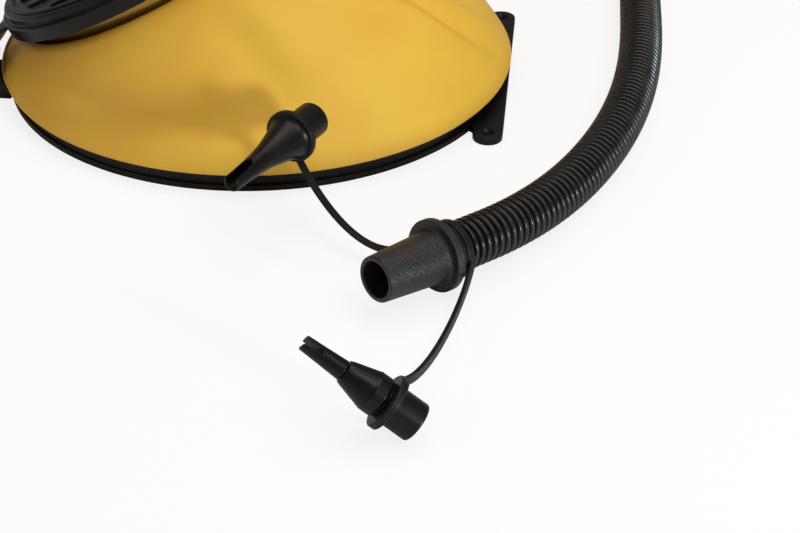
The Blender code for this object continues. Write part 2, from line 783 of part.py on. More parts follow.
def intake_flap_clip(material):
    """The bridge that holds the flap's bead up against the top plate's skin."""
    skin = HINGE_Z + TOP_SKIN[0]
    bead_x = INTAKE_X - INTAKE_FLAP_RADIUS - 0.0035
    bar_top = skin - 0.0034
    item = block("intake_flap_clip", (bead_x - 0.0013, -0.0125, bar_top - 0.0016),
                 (bead_x + 0.0013, 0.0125, bar_top))
    posts = []
    for i, side in enumerate((-1, 1)):
        low, high = sorted((side * 0.0096, side * 0.0125))
        post = block(f"clip_post_{i + 1}", (bead_x - 0.0013, low, bar_top - 0.001),
                     (bead_x + 0.0013, high, skin - GAP))
        posts.append(post)
        join(item, post)
    return place_on_top(item, posts, (bead_x, 0, bar_top), material)


def outlet_valve_box(material):
    """The open-bottomed box over the outlet mouth, with a window towards the middle."""
    low = DUCT_TOP + GAP
    item = block("outlet_valve_box", (-VALVE_BOX_HALF_WIDTH, VALVE_BOX_Y[0], low),
                 (VALVE_BOX_HALF_WIDTH, VALVE_BOX_Y[1], low + VALVE_BOX_HEIGHT), material)
    wall = 0.0016
    hollow = block(
        "valve_box_hollow", (-VALVE_BOX_HALF_WIDTH + wall, VALVE_BOX_Y[0] + wall, low - 0.001),
        (VALVE_BOX_HALF_WIDTH - wall, VALVE_BOX_Y[1] - wall, low + VALVE_BOX_HEIGHT - wall),
    )
    window = block(
        "valve_box_window", (-0.011, VALVE_BOX_Y[0] - 0.001, low + 0.0016),
        (0.011, VALVE_BOX_Y[0] + wall + 0.001, low + VALVE_BOX_HEIGHT - 0.0035),
    )
    cut(item, hollow)
    cut(item, window)
    return item


def outlet_flap(material):
    """The rubber flap inside the valve box; it swings away from the window."""
    wall = 0.0016
    low = DUCT_TOP + GAP
    bead_radius = 0.0009
    bead_z = low + VALVE_BOX_HEIGHT - wall - GAP - bead_radius
    bead_y = VALVE_BOX_Y[0] + wall + GAP + bead_radius
    item = rod("outlet_flap", bead_radius, (-0.0125, bead_y, bead_z), (0.0125, bead_y, bead_z), 12)
    item = baked(item)
    leaf = block("flap_leaf", (-0.0122, bead_y - bead_radius, low + 0.0007),
                 (0.0122, bead_y - bead_radius + 0.0011, bead_z))
    join(item, leaf)
    item = baked(item)
    bpy.data.objects.remove(leaf)
    item.data.transform(Matrix.Translation((0, -bead_y, -bead_z)) @ item.matrix_world)
    item.matrix_world = Matrix.Translation((0, bead_y, bead_z))
    item.data.materials.append(material)
    return item


# ------------------------------------------------------------------------ hose and nozzle


def hose_plan():
    """Points of the hose's centreline seen from above, from the pump to the nozzle."""
    rows = [(0.0, HOSE_START_Y)]
    bend_y = HOSE_START_Y + HOSE_STRAIGHT
    count = 16
    for i in range(count + 1):
        angle = math.pi - math.pi * i / count
        rows.append((
            HOSE_LOOP_RADIUS + HOSE_LOOP_RADIUS * math.cos(angle),
            bend_y + HOSE_LOOP_RADIUS * math.sin(angle),
        ))
    for i in range(1, 3):
        rows.append((2 * HOSE_LOOP_RADIUS, bend_y + (HOSE_SWEEP_START_Y - bend_y) * i / 2))
    x, y = rows[-1]
    count, fine = 14, 16
    step = HOSE_SWEEP_LENGTH / (count * fine)
    for i in range(count):
        for k in range(fine):
            share = (i * fine + k + 0.5) / (count * fine)
            turn = -math.pi / 2 - HOSE_SWEEP_TURN * share**HOSE_SWEEP_POWER
            x += step * math.cos(turn)
            y += step * math.sin(turn)
        rows.append((x, y))
    final = -math.pi / 2 - HOSE_SWEEP_TURN
    rows.append((x + HOSE_TAIL * math.cos(final), y + HOSE_TAIL * math.sin(final)))
    return rows


def hose_path():
    """The centreline in space: flat on the floor, then rising a little to the nozzle."""
    plan = hose_plan()
    lengths = [0.0]
    for (x0, y0), (x1, y1) in zip(plan, plan[1:]):
        lengths.append(lengths[-1] + math.hypot(x1 - x0, y1 - y0))
    total = lengths[-1]
    path = []
    for (x, y), length in zip(plan, lengths):
        away = min(max((length - HOSE_STRAIGHT) / HOSE_DROP_LENGTH, 0.0), 1.0)
        drop = (OUTLET_Z - HOSE_RADIUS) * (1 - away * away * (3 - 2 * away))
        path.append(Vector((x, y, HOSE_RADIUS + drop + lift_at(total - length))))
    return path


def lift_at(from_end):
    """How far the hose has left the floor; the last straight stretch rises evenly."""
    slope = 2 * HOSE_LIFT / HOSE_LIFT_LENGTH
    start_of_tail = HOSE_LIFT_LENGTH - HOSE_TAIL
    if from_end >= HOSE_LIFT_LENGTH:
        return 0.0
    if from_end <= HOSE_TAIL:
        bend = slope * start_of_tail / 2
        return bend + slope * (HOSE_TAIL - from_end)
    return slope / (2 * start_of_tail) * (HOSE_LIFT_LENGTH - from_end) ** 2


def nozzle_frame():
    """Z along the nozzle's axis towards its tip, the origin in the middle of its flange."""
    path = hose_path()
    along = (path[-1] - path[-2]).normalized()
    return frame_along(path[-1] - along * NOZZLE_HOSE_END, along)


def hose(material):
    """The hose's tube wall."""
    path = hose_path()
    tube = wire("hose", path, HOSE_RADIUS, 3, False)
    item = baked(tube)
    item.data.materials.append(material)
    wall = item.modifiers.new("wall", "SOLIDIFY")
    wall.thickness = HOSE_RADIUS - HOSE_BORE
    wall.offset = -1.0
    shade(item)
    return item


def hose_cuff(material):
    """The sleeve round the hose's end on the pump."""
    inner, outer = HOSE_RADIUS + 0.0004, HOSE_RADIUS + 0.0028
    profile = [
        (inner, 0.020), (outer - 0.0008, 0.020), (outer, 0.0192), (outer, 0.0008),
        (outer - 0.0008, 0.0), (inner, 0.0),
    ]
    centre = Vector((0, HOSE_START_Y + 0.0006, OUTLET_Z))
    return turned("hose_cuff", profile, 24, material, frame_along(centre, (0, 1, 0)))


def hose_nozzle(material):
    """The delivery nozzle: tapered barrel, round flange, strap neck and hose spigot."""
    tip, neck = NOZZLE_TIP, NOZZLE_NECK_RADIUS
    profile = [
        (0.0093, tip), (0.0110, tip), (0.0116, tip - 0.0006), (0.0134, 0.0062),
        (0.0139, 0.0036), (0.0152, 0.0024), (0.0181, 0.0022), (NOZZLE_FLANGE_RADIUS, 0.0017),
        (NOZZLE_FLANGE_RADIUS, -0.0018), (0.0181, -0.0023), (neck, -0.0023),
        (neck, NOZZLE_HOSE_END + GAP), (SPIGOT_RADIUS, NOZZLE_HOSE_END + GAP),
        (SPIGOT_RADIUS, NOZZLE_SPIGOT_END), (0.0066, NOZZLE_SPIGOT_END),
        (0.0066, 0.0080),
    ]
    return turned("hose_nozzle", profile, 24, material, nozzle_frame())


# --------------------------------------------------------------------- straps and adapters


def ring_profile(bore, radius, low, high):
    edge = 0.0006
    return [
        (bore, high), (radius - edge, high), (radius, high - edge), (radius, low + edge),
        (radius - edge, low), (bore, low),
    ]


def adapter_frame(centre, heading, rise=0.0):
    """Z along the adapter's axis towards its tip, the origin in its eyelet."""
    along = heading_vector(heading) * math.cos(rise) + Vector((0, 0, math.sin(rise)))
    return frame_along(centre, along)


def adapter_a_frame():
    return adapter_frame(ADAPTER_A_CENTRE, ADAPTER_A_HEADING)


def adapter_b_frame():
    return adapter_frame(ADAPTER_B_CENTRE, ADAPTER_B_HEADING, ADAPTER_B_RISE)


def strap(name, ring, eyelet, path, normals, material):
    """A moulded strap: the ring on the nozzle's neck, the tongue and the adapter's eyelet."""
    half = EYELET_HALF_THICKNESS
    eyelet_frame, eyelet_radius = eyelet
    item = turned(name, ring_profile(EYELET_BORE, eyelet_radius, -half, half), 20,
                  material, eyelet_frame)
    neck_ring = turned(f"{name}_ring", ring_profile(STRAP_RING_BORE, STRAP_RING_RADIUS, *ring),
                       20, None, nozzle_frame())
    tongue = band(f"{name}_tongue", path, STRAP_WIDTH, STRAP_THICKNESS, *normals)
    join(item, tongue)
    join(item, neck_ring)
    return item


def in_frame(frame, x, y, z):
    return frame @ Vector((x, y, z))


def strap_a(material):
    """Holds adapter A up beside the nozzle."""
    eyelet = adapter_a_frame()
    nozzle = nozzle_frame()
    middle = sum(STRAP_RING_A) / 2
    start = in_frame(eyelet, 0.0030, -0.0108, 0)
    lower = in_frame(eyelet, 0.0101, -0.0232, 0)
    near = in_frame(nozzle, -0.0322, -0.0221, 0.0189)
    turn_in = in_frame(nozzle, -0.0190, -0.0040, middle)
    end = in_frame(nozzle, -0.0144, -0.0030, middle)
    path = bezier((start, lower, near, turn_in), 13) + [end]
    side = heading_vector(ADAPTER_A_HEADING + math.pi / 2)
    normal = side + Vector((0, 0, 0.8))
    return strap("strap_a", STRAP_RING_A, (eyelet, EYELET_A_RADIUS), path, (normal, normal),
                 material)


def strap_b(material):
    """Runs low over the floor from adapter B and meets its ring's side from below."""
    eyelet = adapter_b_frame()
    nozzle = nozzle_frame()
    middle = sum(STRAP_RING_B) / 2
    start = in_frame(eyelet, -0.0064, 0.0092, 0)
    lower = in_frame(eyelet, -0.0253, 0.0054, -0.0145)
    near = in_frame(nozzle, 0.0154, -0.0140, -0.0112)
    end = in_frame(nozzle, 0.0142, 0.0030, middle - 0.0010)
    path = bezier((start, lower, near, end), 14)
    across = nozzle.to_3x3().col[0]
    normals = (across + Vector((0, 0, 0.3)), across)
    return strap("strap_b", STRAP_RING_B, (eyelet, EYELET_B_RADIUS), path, normals, material)


def adapter_body_profile(front, socket_end):
    """The outside from tip to socket; front lists it as far as the eyelet's groove."""
    half = EYELET_HALF_THICKNESS + GAP
    return front + [
        (ADAPTER_GROOVE_RADIUS, half), (ADAPTER_GROOVE_RADIUS, -half),
        (ADAPTER_SOCKET_RADIUS, -half), (ADAPTER_SOCKET_RADIUS, socket_end + 0.0006),
        (ADAPTER_SOCKET_RADIUS - 0.0006, socket_end), (0.0066, socket_end),
    ]


def adapter_a(material):
    """The long adapter: a flared cone that ends in a slit tube."""
    length = ADAPTER_A_LENGTH
    half = EYELET_HALF_THICKNESS + GAP
    front = [
        (0.0033, length), (0.0040, length), (0.0044, length - 0.0006), (0.0051, length - 0.016),
        (0.0062, length - 0.028), (0.0080, length - 0.037), (0.0098, 0.0095),
        (0.0112, 0.0045), (0.0113, half),
    ]
    bore = [(0.0064, -0.004), (0.0036, 0.020), (0.0034, length - ADAPTER_A_SLIT_LENGTH)]
    place = adapter_a_frame()
    outside = adapter_body_profile(front, ADAPTER_A_SOCKET_END)
    item = turned("adapter_a", outside + bore, 20, material, place)
    slit = block("adapter_a_slit", (-0.0025, -0.0005, length - ADAPTER_A_SLIT_LENGTH),
                 (0.0025, 0.0070, length + 0.001), None, place)
    cut(item, slit)
    return item


def adapter_b_body(material):
    """The shorter adapter's stepped cone and socket."""
    half = EYELET_HALF_THICKNESS + GAP
    cone = ADAPTER_B_CONE_END
    front = [
        (0.0036, cone), (0.0050, cone), (0.0053, cone - 0.0004), (0.0091, 0.0106),
        (0.0095, 0.0098), (0.0095, 0.0058), (0.0091, 0.0052), (0.0091, half),
    ]
    bore = [(0.0064, -0.004), (0.0036, 0.0085)]
    place = adapter_b_frame()
    outside = adapter_body_profile(front, ADAPTER_B_SOCKET_END)
    return turned("adapter_b_body", outside + bore, 20, material, place)


def adapter_b_tip(material):
    """The narrow tube pressed into adapter B's cone, split into two prongs at its end."""
    length, step = ADAPTER_B_TUBE_END, ADAPTER_B_CONE_END + GAP
    profile = [
        (0.0016, length), (0.0033, length), (0.0037, length - 0.0006), (0.0047, step),
        (0.0036 - GAP, step), (0.0036 - GAP, 0.0125), (0.0016, 0.0125),
    ]
    place = adapter_b_frame()
    item = turned("adapter_b_tip", profile, 16, material, place)
    cut(item, block("adapter_b_slot", (-0.006, -0.0012, length - 0.0115),
                    (0.006, 0.0012, length + 0.001), None, place))
    return item


# ------------------------------------------------------------------------------ the object


def clamped_rings(black, steel):
    """Both clamp rings and their screws."""
    low = RIM_TOP + 2 * GAP + SKIRT_THICKNESS
    clamp_ring("base_hem_ring", RING_INNER_RADIUS, RING_OUTER_RADIUS, low,
               low + RING_THICKNESS, screw_circle(), black)
    for i, place in enumerate(screw_places(screw_circle())):
        head = low + RING_THICKNESS + GAP
        ring_screw(f"base_ring_screw_{i + 1}", place, head, head + SCREW_HEAD_HEIGHT,
                   RIM_TOP - 0.005, steel)
    high = HINGE_Z + TOP_FLANGE[0] - 2 * GAP - SKIRT_THICKNESS
    tilt = closed_to_open() @ over_top_centre()
    clamp_ring("top_hem_ring", TOP_RING_INNER_RADIUS, TOP_RING_OUTER_RADIUS,
               high - RING_THICKNESS, high, top_screw_circle(), black, tilt)
    for i, place in enumerate(screw_places(top_screw_circle())):
        head = high - RING_THICKNESS - GAP
        ring_screw(f"top_ring_screw_{i + 1}", place, head - SCREW_HEAD_HEIGHT, head,
                   HINGE_Z + TOP_FLANGE[0] + 0.0032, steel, tilt)


def hang_on_axis(name, place, items):
    """Parents pieces that turn together to an empty on their joint's axis."""
    axis = bpy.data.objects.new(name, None)
    parts.objects.link(axis)
    axis.matrix_world = place
    bpy.context.view_layer.update()
    for item in items:
        world = item.matrix_world.copy()
        item.parent = axis
        item.matrix_parent_inverse = place.inverted()
        item.matrix_world = world


def named(*names):
    return [item for item in parts.objects if item.name.startswith(names)]


def build():
    black = new_material("black_plastic", (0.022, 0.022, 0.024), 0.42)
    yellow = new_material("yellow_pvc", (0.72, 0.44, 0.07), 0.48)
    hose_black = new_material("hose_black", (0.016, 0.016, 0.018), 0.30)
    strap_black = new_material("strap_black", (0.020, 0.020, 0.021), 0.50)
    rubber = new_material("black_rubber", (0.018, 0.018, 0.018), 0.80)
    steel = new_material("zinc_steel", (0.60, 0.60, 0.62), 0.35, 1.0)
    base_plate(black)
    top_plate(black)
    clamped_rings(black, steel)
    bellows_skirt(yellow)
    return_spring(steel)
    hinge_pin(steel)
    hinge_pin_washer(steel)
    intake_flap(rubber)
    intake_flap_clip(black)
    outlet_valve_box(black)
    outlet_flap(rubber)
    hose(hose_black)
    hose_cuff(black)
    hose_nozzle(black)
    strap_a(strap_black)
    strap_b(strap_black)
    adapter_a(black)
    adapter_b_body(black)
    adapter_b_tip(black)
    hinge = Matrix.Translation((HINGE_X, 0, HINGE_Z))
    hang_on_axis("top_hinge_axis", hinge, named("top_", "intake_flap_clip"))
    swivel = Matrix.Translation((0, SPIGOT_END_Y - 0.010, OUTLET_Z))
    hang_on_axis("hose_swivel_axis", swivel, named("hose_cuff") + [bpy.data.objects["hose"]])
    hang_on_axis("nozzle_neck_axis", nozzle_frame(), named("strap_"))


clear_scene()
parts = new_collection(COLLECTION)
guides = new_collection("guides")
build()
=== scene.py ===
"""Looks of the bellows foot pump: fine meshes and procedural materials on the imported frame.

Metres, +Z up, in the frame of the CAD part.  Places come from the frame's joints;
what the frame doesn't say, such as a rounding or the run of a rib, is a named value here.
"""

import json
import math

import bmesh
import bpy
from mathutils import Matrix, Vector, noise


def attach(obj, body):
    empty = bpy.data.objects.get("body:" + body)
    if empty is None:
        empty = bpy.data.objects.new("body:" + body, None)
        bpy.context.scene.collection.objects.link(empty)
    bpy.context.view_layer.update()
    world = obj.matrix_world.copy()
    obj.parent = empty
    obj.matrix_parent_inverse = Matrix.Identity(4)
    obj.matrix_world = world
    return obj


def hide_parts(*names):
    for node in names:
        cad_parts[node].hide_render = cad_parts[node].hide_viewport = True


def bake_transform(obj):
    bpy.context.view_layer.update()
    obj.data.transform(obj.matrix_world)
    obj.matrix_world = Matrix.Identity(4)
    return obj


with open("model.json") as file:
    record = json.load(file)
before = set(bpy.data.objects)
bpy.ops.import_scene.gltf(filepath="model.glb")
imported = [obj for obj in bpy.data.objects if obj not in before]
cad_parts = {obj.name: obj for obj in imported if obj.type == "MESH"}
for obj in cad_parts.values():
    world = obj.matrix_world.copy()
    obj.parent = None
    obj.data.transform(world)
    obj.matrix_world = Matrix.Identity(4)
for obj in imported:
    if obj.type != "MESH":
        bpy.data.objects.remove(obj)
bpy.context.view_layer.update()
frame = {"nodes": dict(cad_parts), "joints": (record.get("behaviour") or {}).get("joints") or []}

UP = Vector((0, 0, 1))
JOINTS = {joint["name"]: joint for joint in frame["joints"]}

# Base plate
BASE_RADIUS = 0.150
BASE_WALL_RADIUS = 0.148
LIP_HEIGHT = 0.0035
LIP_INNER_RADIUS = 0.1445
RIM_TOP = 0.011
RIM_INNER_RADIUS = 0.139
FLOOR_TOP = 0.007
FLOOR_BOTTOM = 0.0036
DUCT_HALF_WIDTH = 0.017
DUCT_START_Y = 0.032
MOUTH_Y = (0.041, 0.055)
OUTLET_Z = JOINTS["hose_swivel"]["pos_m"][2]
ROUND_STEPS = 240

# Foot bar and its ears
BAR_EDGE_X = 0.15265
BAR_THICKNESS = 0.0042
EAR_RADIUS = 0.0086
EAR_Y = 0.0759

# Hinge and top plate
HINGE_X, _, HINGE_Z = JOINTS["top_hinge"]["pos_m"]
OPEN_ANGLE = math.radians(27.7)
KNUCKLE_RADIUS = 0.0065
PIN_RADIUS = 0.003
PIN_LENGTH = 0.131
PIN_HEAD_RADIUS = 0.0052
PIN_HEAD_HEIGHT = 0.002
KNUCKLE_SPANS = ((0.032, 0.040), (0.0408, 0.0532), (0.054, 0.062))
TOP_CENTRE_X = -0.046
TOP_RADIUS = 0.0985
TOP_LIP_HEIGHT = 0.0046
TOP_LIP_INNER_RADIUS = 0.0970
TOP_FLANGE = (0.010, 0.013)
TOP_SKIN = (0.015, 0.018)
TOP_WALL_RADIUS = 0.0950
TOP_FLANGE_INNER_RADIUS = 0.0880
TOP_ARM_REACH = 0.0795
TREAD_HEIGHT = 0.0015
TREAD_PITCH = 0.018
TREAD_WIDTH = 0.007
TREAD_COUNT = 9
INTAKE_X = 0.012
INTAKE_HOLE_RING = 0.0085
INTAKE_HOLE_COUNT = 6

# Return spring
SPRING_WIRE_RADIUS = 0.00175
SPRING_TURNS = 5.25
SPRING_FLAT_TURNS = 0.8
SPRING_BASE_RADIUS = 0.038
SPRING_TOP_RADIUS = 0.016
SPRING_SEAT = (0.0422, 0.0448)
SPRING_BOSS_RADIUS = 0.01345

# Skirt
SKIRT_THICKNESS = 0.0012
FOLD_RADIUS = 0.1532
RIDGE_RADIUS = 0.0912
RIDGE_SHARE = 0.942
VALLEY_RADIUS = 0.0862
VALLEY_DEPTH = 0.0060
TOP_FOLD_RADIUS = 0.0964
HEM_INNER_RADIUS = 0.1405
TOP_HEM_INNER_RADIUS = 0.0882
BUCKLE_FADE = 0.8
FOLLOW_POWER = 1.4
GAP = 0.0003

# Hose
HOSE_RADIUS = 0.013
HOSE_GROOVE_RADIUS = 0.0107
HOSE_BORE = 0.0098
RIB_PITCH = 0.00430
HOSE_START_Y = 0.1685
HOSE_STRAIGHT = 0.0215
HOSE_LOOP_RADIUS = 0.116
HOSE_DROP_LENGTH = 0.12
HOSE_SWEEP_START_Y = 0.0716
HOSE_SWEEP_LENGTH = 0.2945
HOSE_SWEEP_TURN = math.radians(42.6)
HOSE_SWEEP_POWER = 1.536
HOSE_TAIL = 0.018
HOSE_LIFT = 0.0041
HOSE_LIFT_LENGTH = 0.107

# Nozzle and straps
NOZZLE_TIP = 0.0392
NOZZLE_BORE = 0.0092
FLANGE_RADIUS = 0.0186
FLANGE = (-0.0023, 0.0022)
NECK_RADIUS = 0.0115
NECK_END = -0.0139
SPIGOT_END = -0.0300
SPIGOT_BORE = 0.0066
RING_RADIUS = 0.0152
RING_A = (-0.0071, -0.0027)
RING_B = (-0.0119, -0.0075)
STRAP_WIDTH = 0.0042
STRAP_THICKNESS = 0.0022
EYELET_A_RADIUS = 0.0141
EYELET_B_RADIUS = 0.0132
EYELET_BORE = 0.0084
STRAP_RING_BORE = 0.0119
EYELET_HALF = 0.0019

# Adapters, measured from the eyelet along the axis
WAIST_RADIUS = 0.0080
SOCKET_RADIUS = 0.00935
SOCKET_BORE = 0.0066
ADAPTER_A_LENGTH = 0.0545
ADAPTER_A_SOCKET_END = -0.0215
ADAPTER_A_SLIT_LENGTH = 0.0175
ADAPTER_B_CONE_END = 0.0240
ADAPTER_B_TUBE_END = 0.0457
ADAPTER_B_SOCKET_END = -0.0160
ADAPTER_B_SLIT_LENGTH = 0.0098


# ------------------------------------------------------------------------- mesh helpers


def rounded(corners, closed=True, step=10.0):
    """A polygon's points with each corner (x, y, fillet radius) turned into an arc."""
    points = []
    count = len(corners)
    for i, (x, y, fillet) in enumerate(corners):
        here = Vector((x, y))
        at_end = not closed and i in (0, count - 1)
        if fillet == 0 or at_end:
            points.append((x, y))
            continue
        a = Vector(corners[i - 1][:2]) - here
        b = Vector(corners[(i + 1) % count][:2]) - here
        room = 0.49 * min(a.length, b.length)
        a.normalize()
        b.normalize()
        angle = a.angle(b)
        turn = math.pi - angle
        if turn < 0.01:
            points.append((x, y))
            continue
        reach = min(fillet / math.tan(angle / 2), room)
        radius = reach * math.tan(angle / 2)
        centre = here + (a + b).normalized() * (radius / math.sin(angle / 2))
        start = here + a * reach - centre
        end = here + b * reach - centre
        parts = max(2, math.ceil(math.degrees(turn) / step))
        for k in range(parts + 1):
            t = k / parts
            spoke = (start * math.sin((1 - t) * turn) + end * math.sin(t * turn))
            points.append(tuple(centre + spoke / math.sin(turn)))
    return points


def through(points, parts):
    """A smooth line through points (Catmull-Rom), with parts steps in each span."""
    line = []
    last = len(points) - 1
    for i in range(last):
        p0, p1 = Vector(points[max(i - 1, 0)]), Vector(points[i])
        p2, p3 = Vector(points[i + 1]), Vector(points[min(i + 2, last)])
        for k in range(parts):
            t = k / parts
            line.append(
                0.5 * (2 * p1 + (p2 - p0) * t + (2 * p0 - 5 * p1 + 4 * p2 - p3) * t * t
                       + (3 * p1 - p0 - 3 * p2 + p3) * t**3)
            )
    line.append(Vector(points[-1]))
    return line


def bezier(points, count):
    """A cubic curve by four control points, in count steps."""
    a, b, c, d = (Vector(point) for point in points)
    path = []
    for i in range(count + 1):
        t = i / count
        s = 1 - t
        path.append(a * s**3 + b * 3 * s * s * t + c * 3 * s * t * t + d * t**3)
    return path


def add_mesh(name, bm, smooth_angle=32.0):
    bmesh.ops.recalc_face_normals(bm, faces=bm.faces)
    mesh = bpy.data.meshes.new(name)
    bm.to_mesh(mesh)
    bm.free()
    item = bpy.data.objects.new(name, mesh)
    bpy.context.scene.collection.objects.link(item)
    shade(item, smooth_angle)
    return item


def shade(item, angle=32.0):
    item.data.shade_smooth()
    item.data.set_sharp_from_angle(angle=math.radians(angle))


def loft(name, loops, ring=False, smooth_angle=32.0):
    """Closed loops of points joined one to the next, capped or closed into a ring."""
    bm = bmesh.new()
    rows = [[bm.verts.new(point) for point in loop] for loop in loops]
    pairs = list(zip(rows, rows[1:]))
    if ring:
        pairs.append((rows[-1], rows[0]))
    for one, two in pairs:
        for k in range(len(one)):
            j = (k + 1) % len(one)
            bm.faces.new((one[k], one[j], two[j], two[k]))
    if not ring:
        bm.faces.new(rows[0])
        bm.faces.new(rows[-1])
    return add_mesh(name, bm, smooth_angle)


def turned(name, profile, steps, matrix=None, smooth_angle=32.0):
    """A turned piece about Z; a profile with ends on the axis makes a solid."""
    solid = profile[0][0] == 0.0
    outside = [point for point in profile if point[0] > 0.0]
    loops = []
    for radius, height in outside:
        loops.append([
            (radius * math.cos(2 * math.pi * k / steps),
             radius * math.sin(2 * math.pi * k / steps), height)
            for k in range(steps)
        ])
    item = loft(name, loops, not solid, smooth_angle)
    if matrix is not None:
        item.data.transform(matrix)
    return item


def plate(name, points, low, high, bevel=0.0, matrix=None):
    """A flat piece between two heights, cut to an outline, its edges rounded."""
    bm = bmesh.new()
    floor = [bm.verts.new((x, y, low)) for x, y in points]
    roof = [bm.verts.new((x, y, high)) for x, y in points]
    count = len(points)
    for k in range(count):
        j = (k + 1) % count
        bm.faces.new((floor[k], floor[j], roof[j], roof[k]))
    bm.faces.new(floor)
    bm.faces.new(roof)
    item = add_mesh(name, bm)
    if bevel:
        edge = item.modifiers.new("edge", "BEVEL")
        edge.width = bevel
        edge.segments = 3
        edge.limit_method = "ANGLE"
        edge.angle_limit = math.radians(50)
    if matrix is not None:
        item.data.transform(matrix)
    return baked(item)


def box(name, low, high, bevel=0.0, matrix=None):
    points = [(low[0], low[1]), (high[0], low[1]), (high[0], high[1]), (low[0], high[1])]
    return plate(name, points, low[2], high[2], bevel, matrix)


def baked(item):
    """The object with its modifiers applied."""
    if not item.modifiers:
        return item
    bpy.context.view_layer.update()
    graph = bpy.context.evaluated_depsgraph_get()
    mesh = bpy.data.meshes.new_from_object(item.evaluated_get(graph))
    item.modifiers.clear()
    item.data = mesh
    shade(item)
    return item


def combined(item, tools, operation):
    """Joins tools to an object or cuts them from it, and removes the tools."""
    for tool in tools:
        step = item.modifiers.new("combine", "BOOLEAN")
        step.operation = operation
        step.object = tool
        step.solver = "EXACT"
    baked(item)
    for tool in tools:
        bpy.data.objects.remove(tool)
    return item


def joined(item, tools):
    return combined(item, tools, "UNION")


def cut(item, tools):
    return combined(item, tools, "DIFFERENCE")


def frame_along(origin, direction):
    """A matrix whose Z axis is direction and whose X axis is level."""
    z = Vector(direction).normalized()
    x = UP.cross(z)
    if x.length < 1e-6:
        x = Vector((1, 0, 0))
    x.normalize()
    y = z.cross(x)
    turn = Matrix((x, y, z)).transposed().to_4x4()
    return Matrix.Translation(Vector(origin)) @ turn


def joint_frame(name):
    return frame_along(JOINTS[name]["pos_m"], JOINTS[name]["axis"])


def rod(name, radius, start, end, steps=32, matrix=None):
    start, end = Vector(start), Vector(end)
    length = (end - start).length
    place = frame_along(start, end - start)
    if matrix is not None:
        place = matrix @ place
    return turned(name, [(0.0, 0.0), (radius, 0.0), (radius, length), (0.0, length)],
                  steps, place)


def finish_piece(item, body, slot, material, *nodes):
    """Gives a piece its material and the body it rides on, and hides the CAD nodes it stands for.
    """
    item.data.materials.clear()
    item.data.materials.append(material)
    normals = item.modifiers.new("normals", "WEIGHTED_NORMAL")
    normals.keep_sharp = True
    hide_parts(*nodes)
    if body is not None:
        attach(item, body)
    return item


# ---------------------------------------------------------------------------- materials


def new_node(tree, kind, inputs=(), **settings):
    made = tree.nodes.new(kind)
    for name, value in settings.items():
        setattr(made, name, value)
    for name, value in inputs:
        made.inputs[name].default_value = value
    return made


def noise_node(tree, place, scale, detail=3.0, rough=0.55):
    made = new_node(tree, "ShaderNodeTexNoise",
                    (("Scale", scale), ("Detail", detail), ("Roughness", rough)))
    tree.links.new(place, made.inputs["Vector"])
    return made.outputs["Fac"]


def spread(tree, value, low, high, start=0.3, end=0.7):
    made = new_node(tree, "ShaderNodeMapRange", (
        ("From Min", start), ("From Max", end), ("To Min", low), ("To Max", high)))
    tree.links.new(value, made.inputs["Value"])
    return made.outputs["Result"]


def mixed(tree, share, first, second):
    made = new_node(tree, "ShaderNodeMix", data_type="RGBA")
    tree.links.new(share, made.inputs["Factor"])
    for slot, value in ((6, first), (7, second)):
        if isinstance(value, tuple):
            made.inputs[slot].default_value = (*value, 1.0)
        else:
            tree.links.new(value, made.inputs[slot])
    return made.outputs[2]


def bumped(tree, value, distance, strength=1.0, before=None):
    made = new_node(tree, "ShaderNodeBump", (("Strength", strength), ("Distance", distance)))
    tree.links.new(value, made.inputs["Height"])
    if before is not None:
        tree.links.new(before, made.inputs["Normal"])
    return made.outputs["Normal"]


def moulded(name, colour, roughness, grain, depth, metallic=0.0, wear=0.35, sheen=0.0,
            shine=0.24):
    """Moulded plastic, rubber or plated metal: a grain, uneven gloss and paler edges.

    grain is the size of the texture's specks and depth their height, both in metres.
    """
    material = bpy.data.materials.new(name)
    material.use_nodes = True
    tree = material.node_tree
    surface = tree.nodes["Principled BSDF"]
    place = new_node(tree, "ShaderNodeTexCoord").outputs["Object"]
    broad = noise_node(tree, place, 45.0, 4.0)
    specks = noise_node(tree, place, 1.0 / grain, 2.0, 0.6)
    paler = tuple(min(1.0, part * 1.7 + 0.002) for part in colour)
    darker = tuple(part * 0.75 for part in colour)
    body = mixed(tree, spread(tree, broad, 0.0, 1.0), darker, colour)
    body = mixed(tree, spread(tree, specks, 0.0, 0.35, 0.5, 0.75), body, paler)
    edge = new_node(tree, "ShaderNodeNewGeometry").outputs["Pointiness"]
    worn = spread(tree, edge, 0.0, wear, 0.52, 0.60)
    body = mixed(tree, worn, body, paler)
    tree.links.new(body, surface.inputs["Base Color"])
    gloss = spread(tree, broad, roughness - 0.06, roughness + 0.06)
    tree.links.new(gloss, surface.inputs["Roughness"])
    tree.links.new(bumped(tree, specks, depth), surface.inputs["Normal"])
    surface.inputs["Metallic"].default_value = metallic
    surface.inputs["Specular IOR Level"].default_value = 0.5 if metallic else shine
    surface.inputs["Sheen Weight"].default_value = sheen
    return material


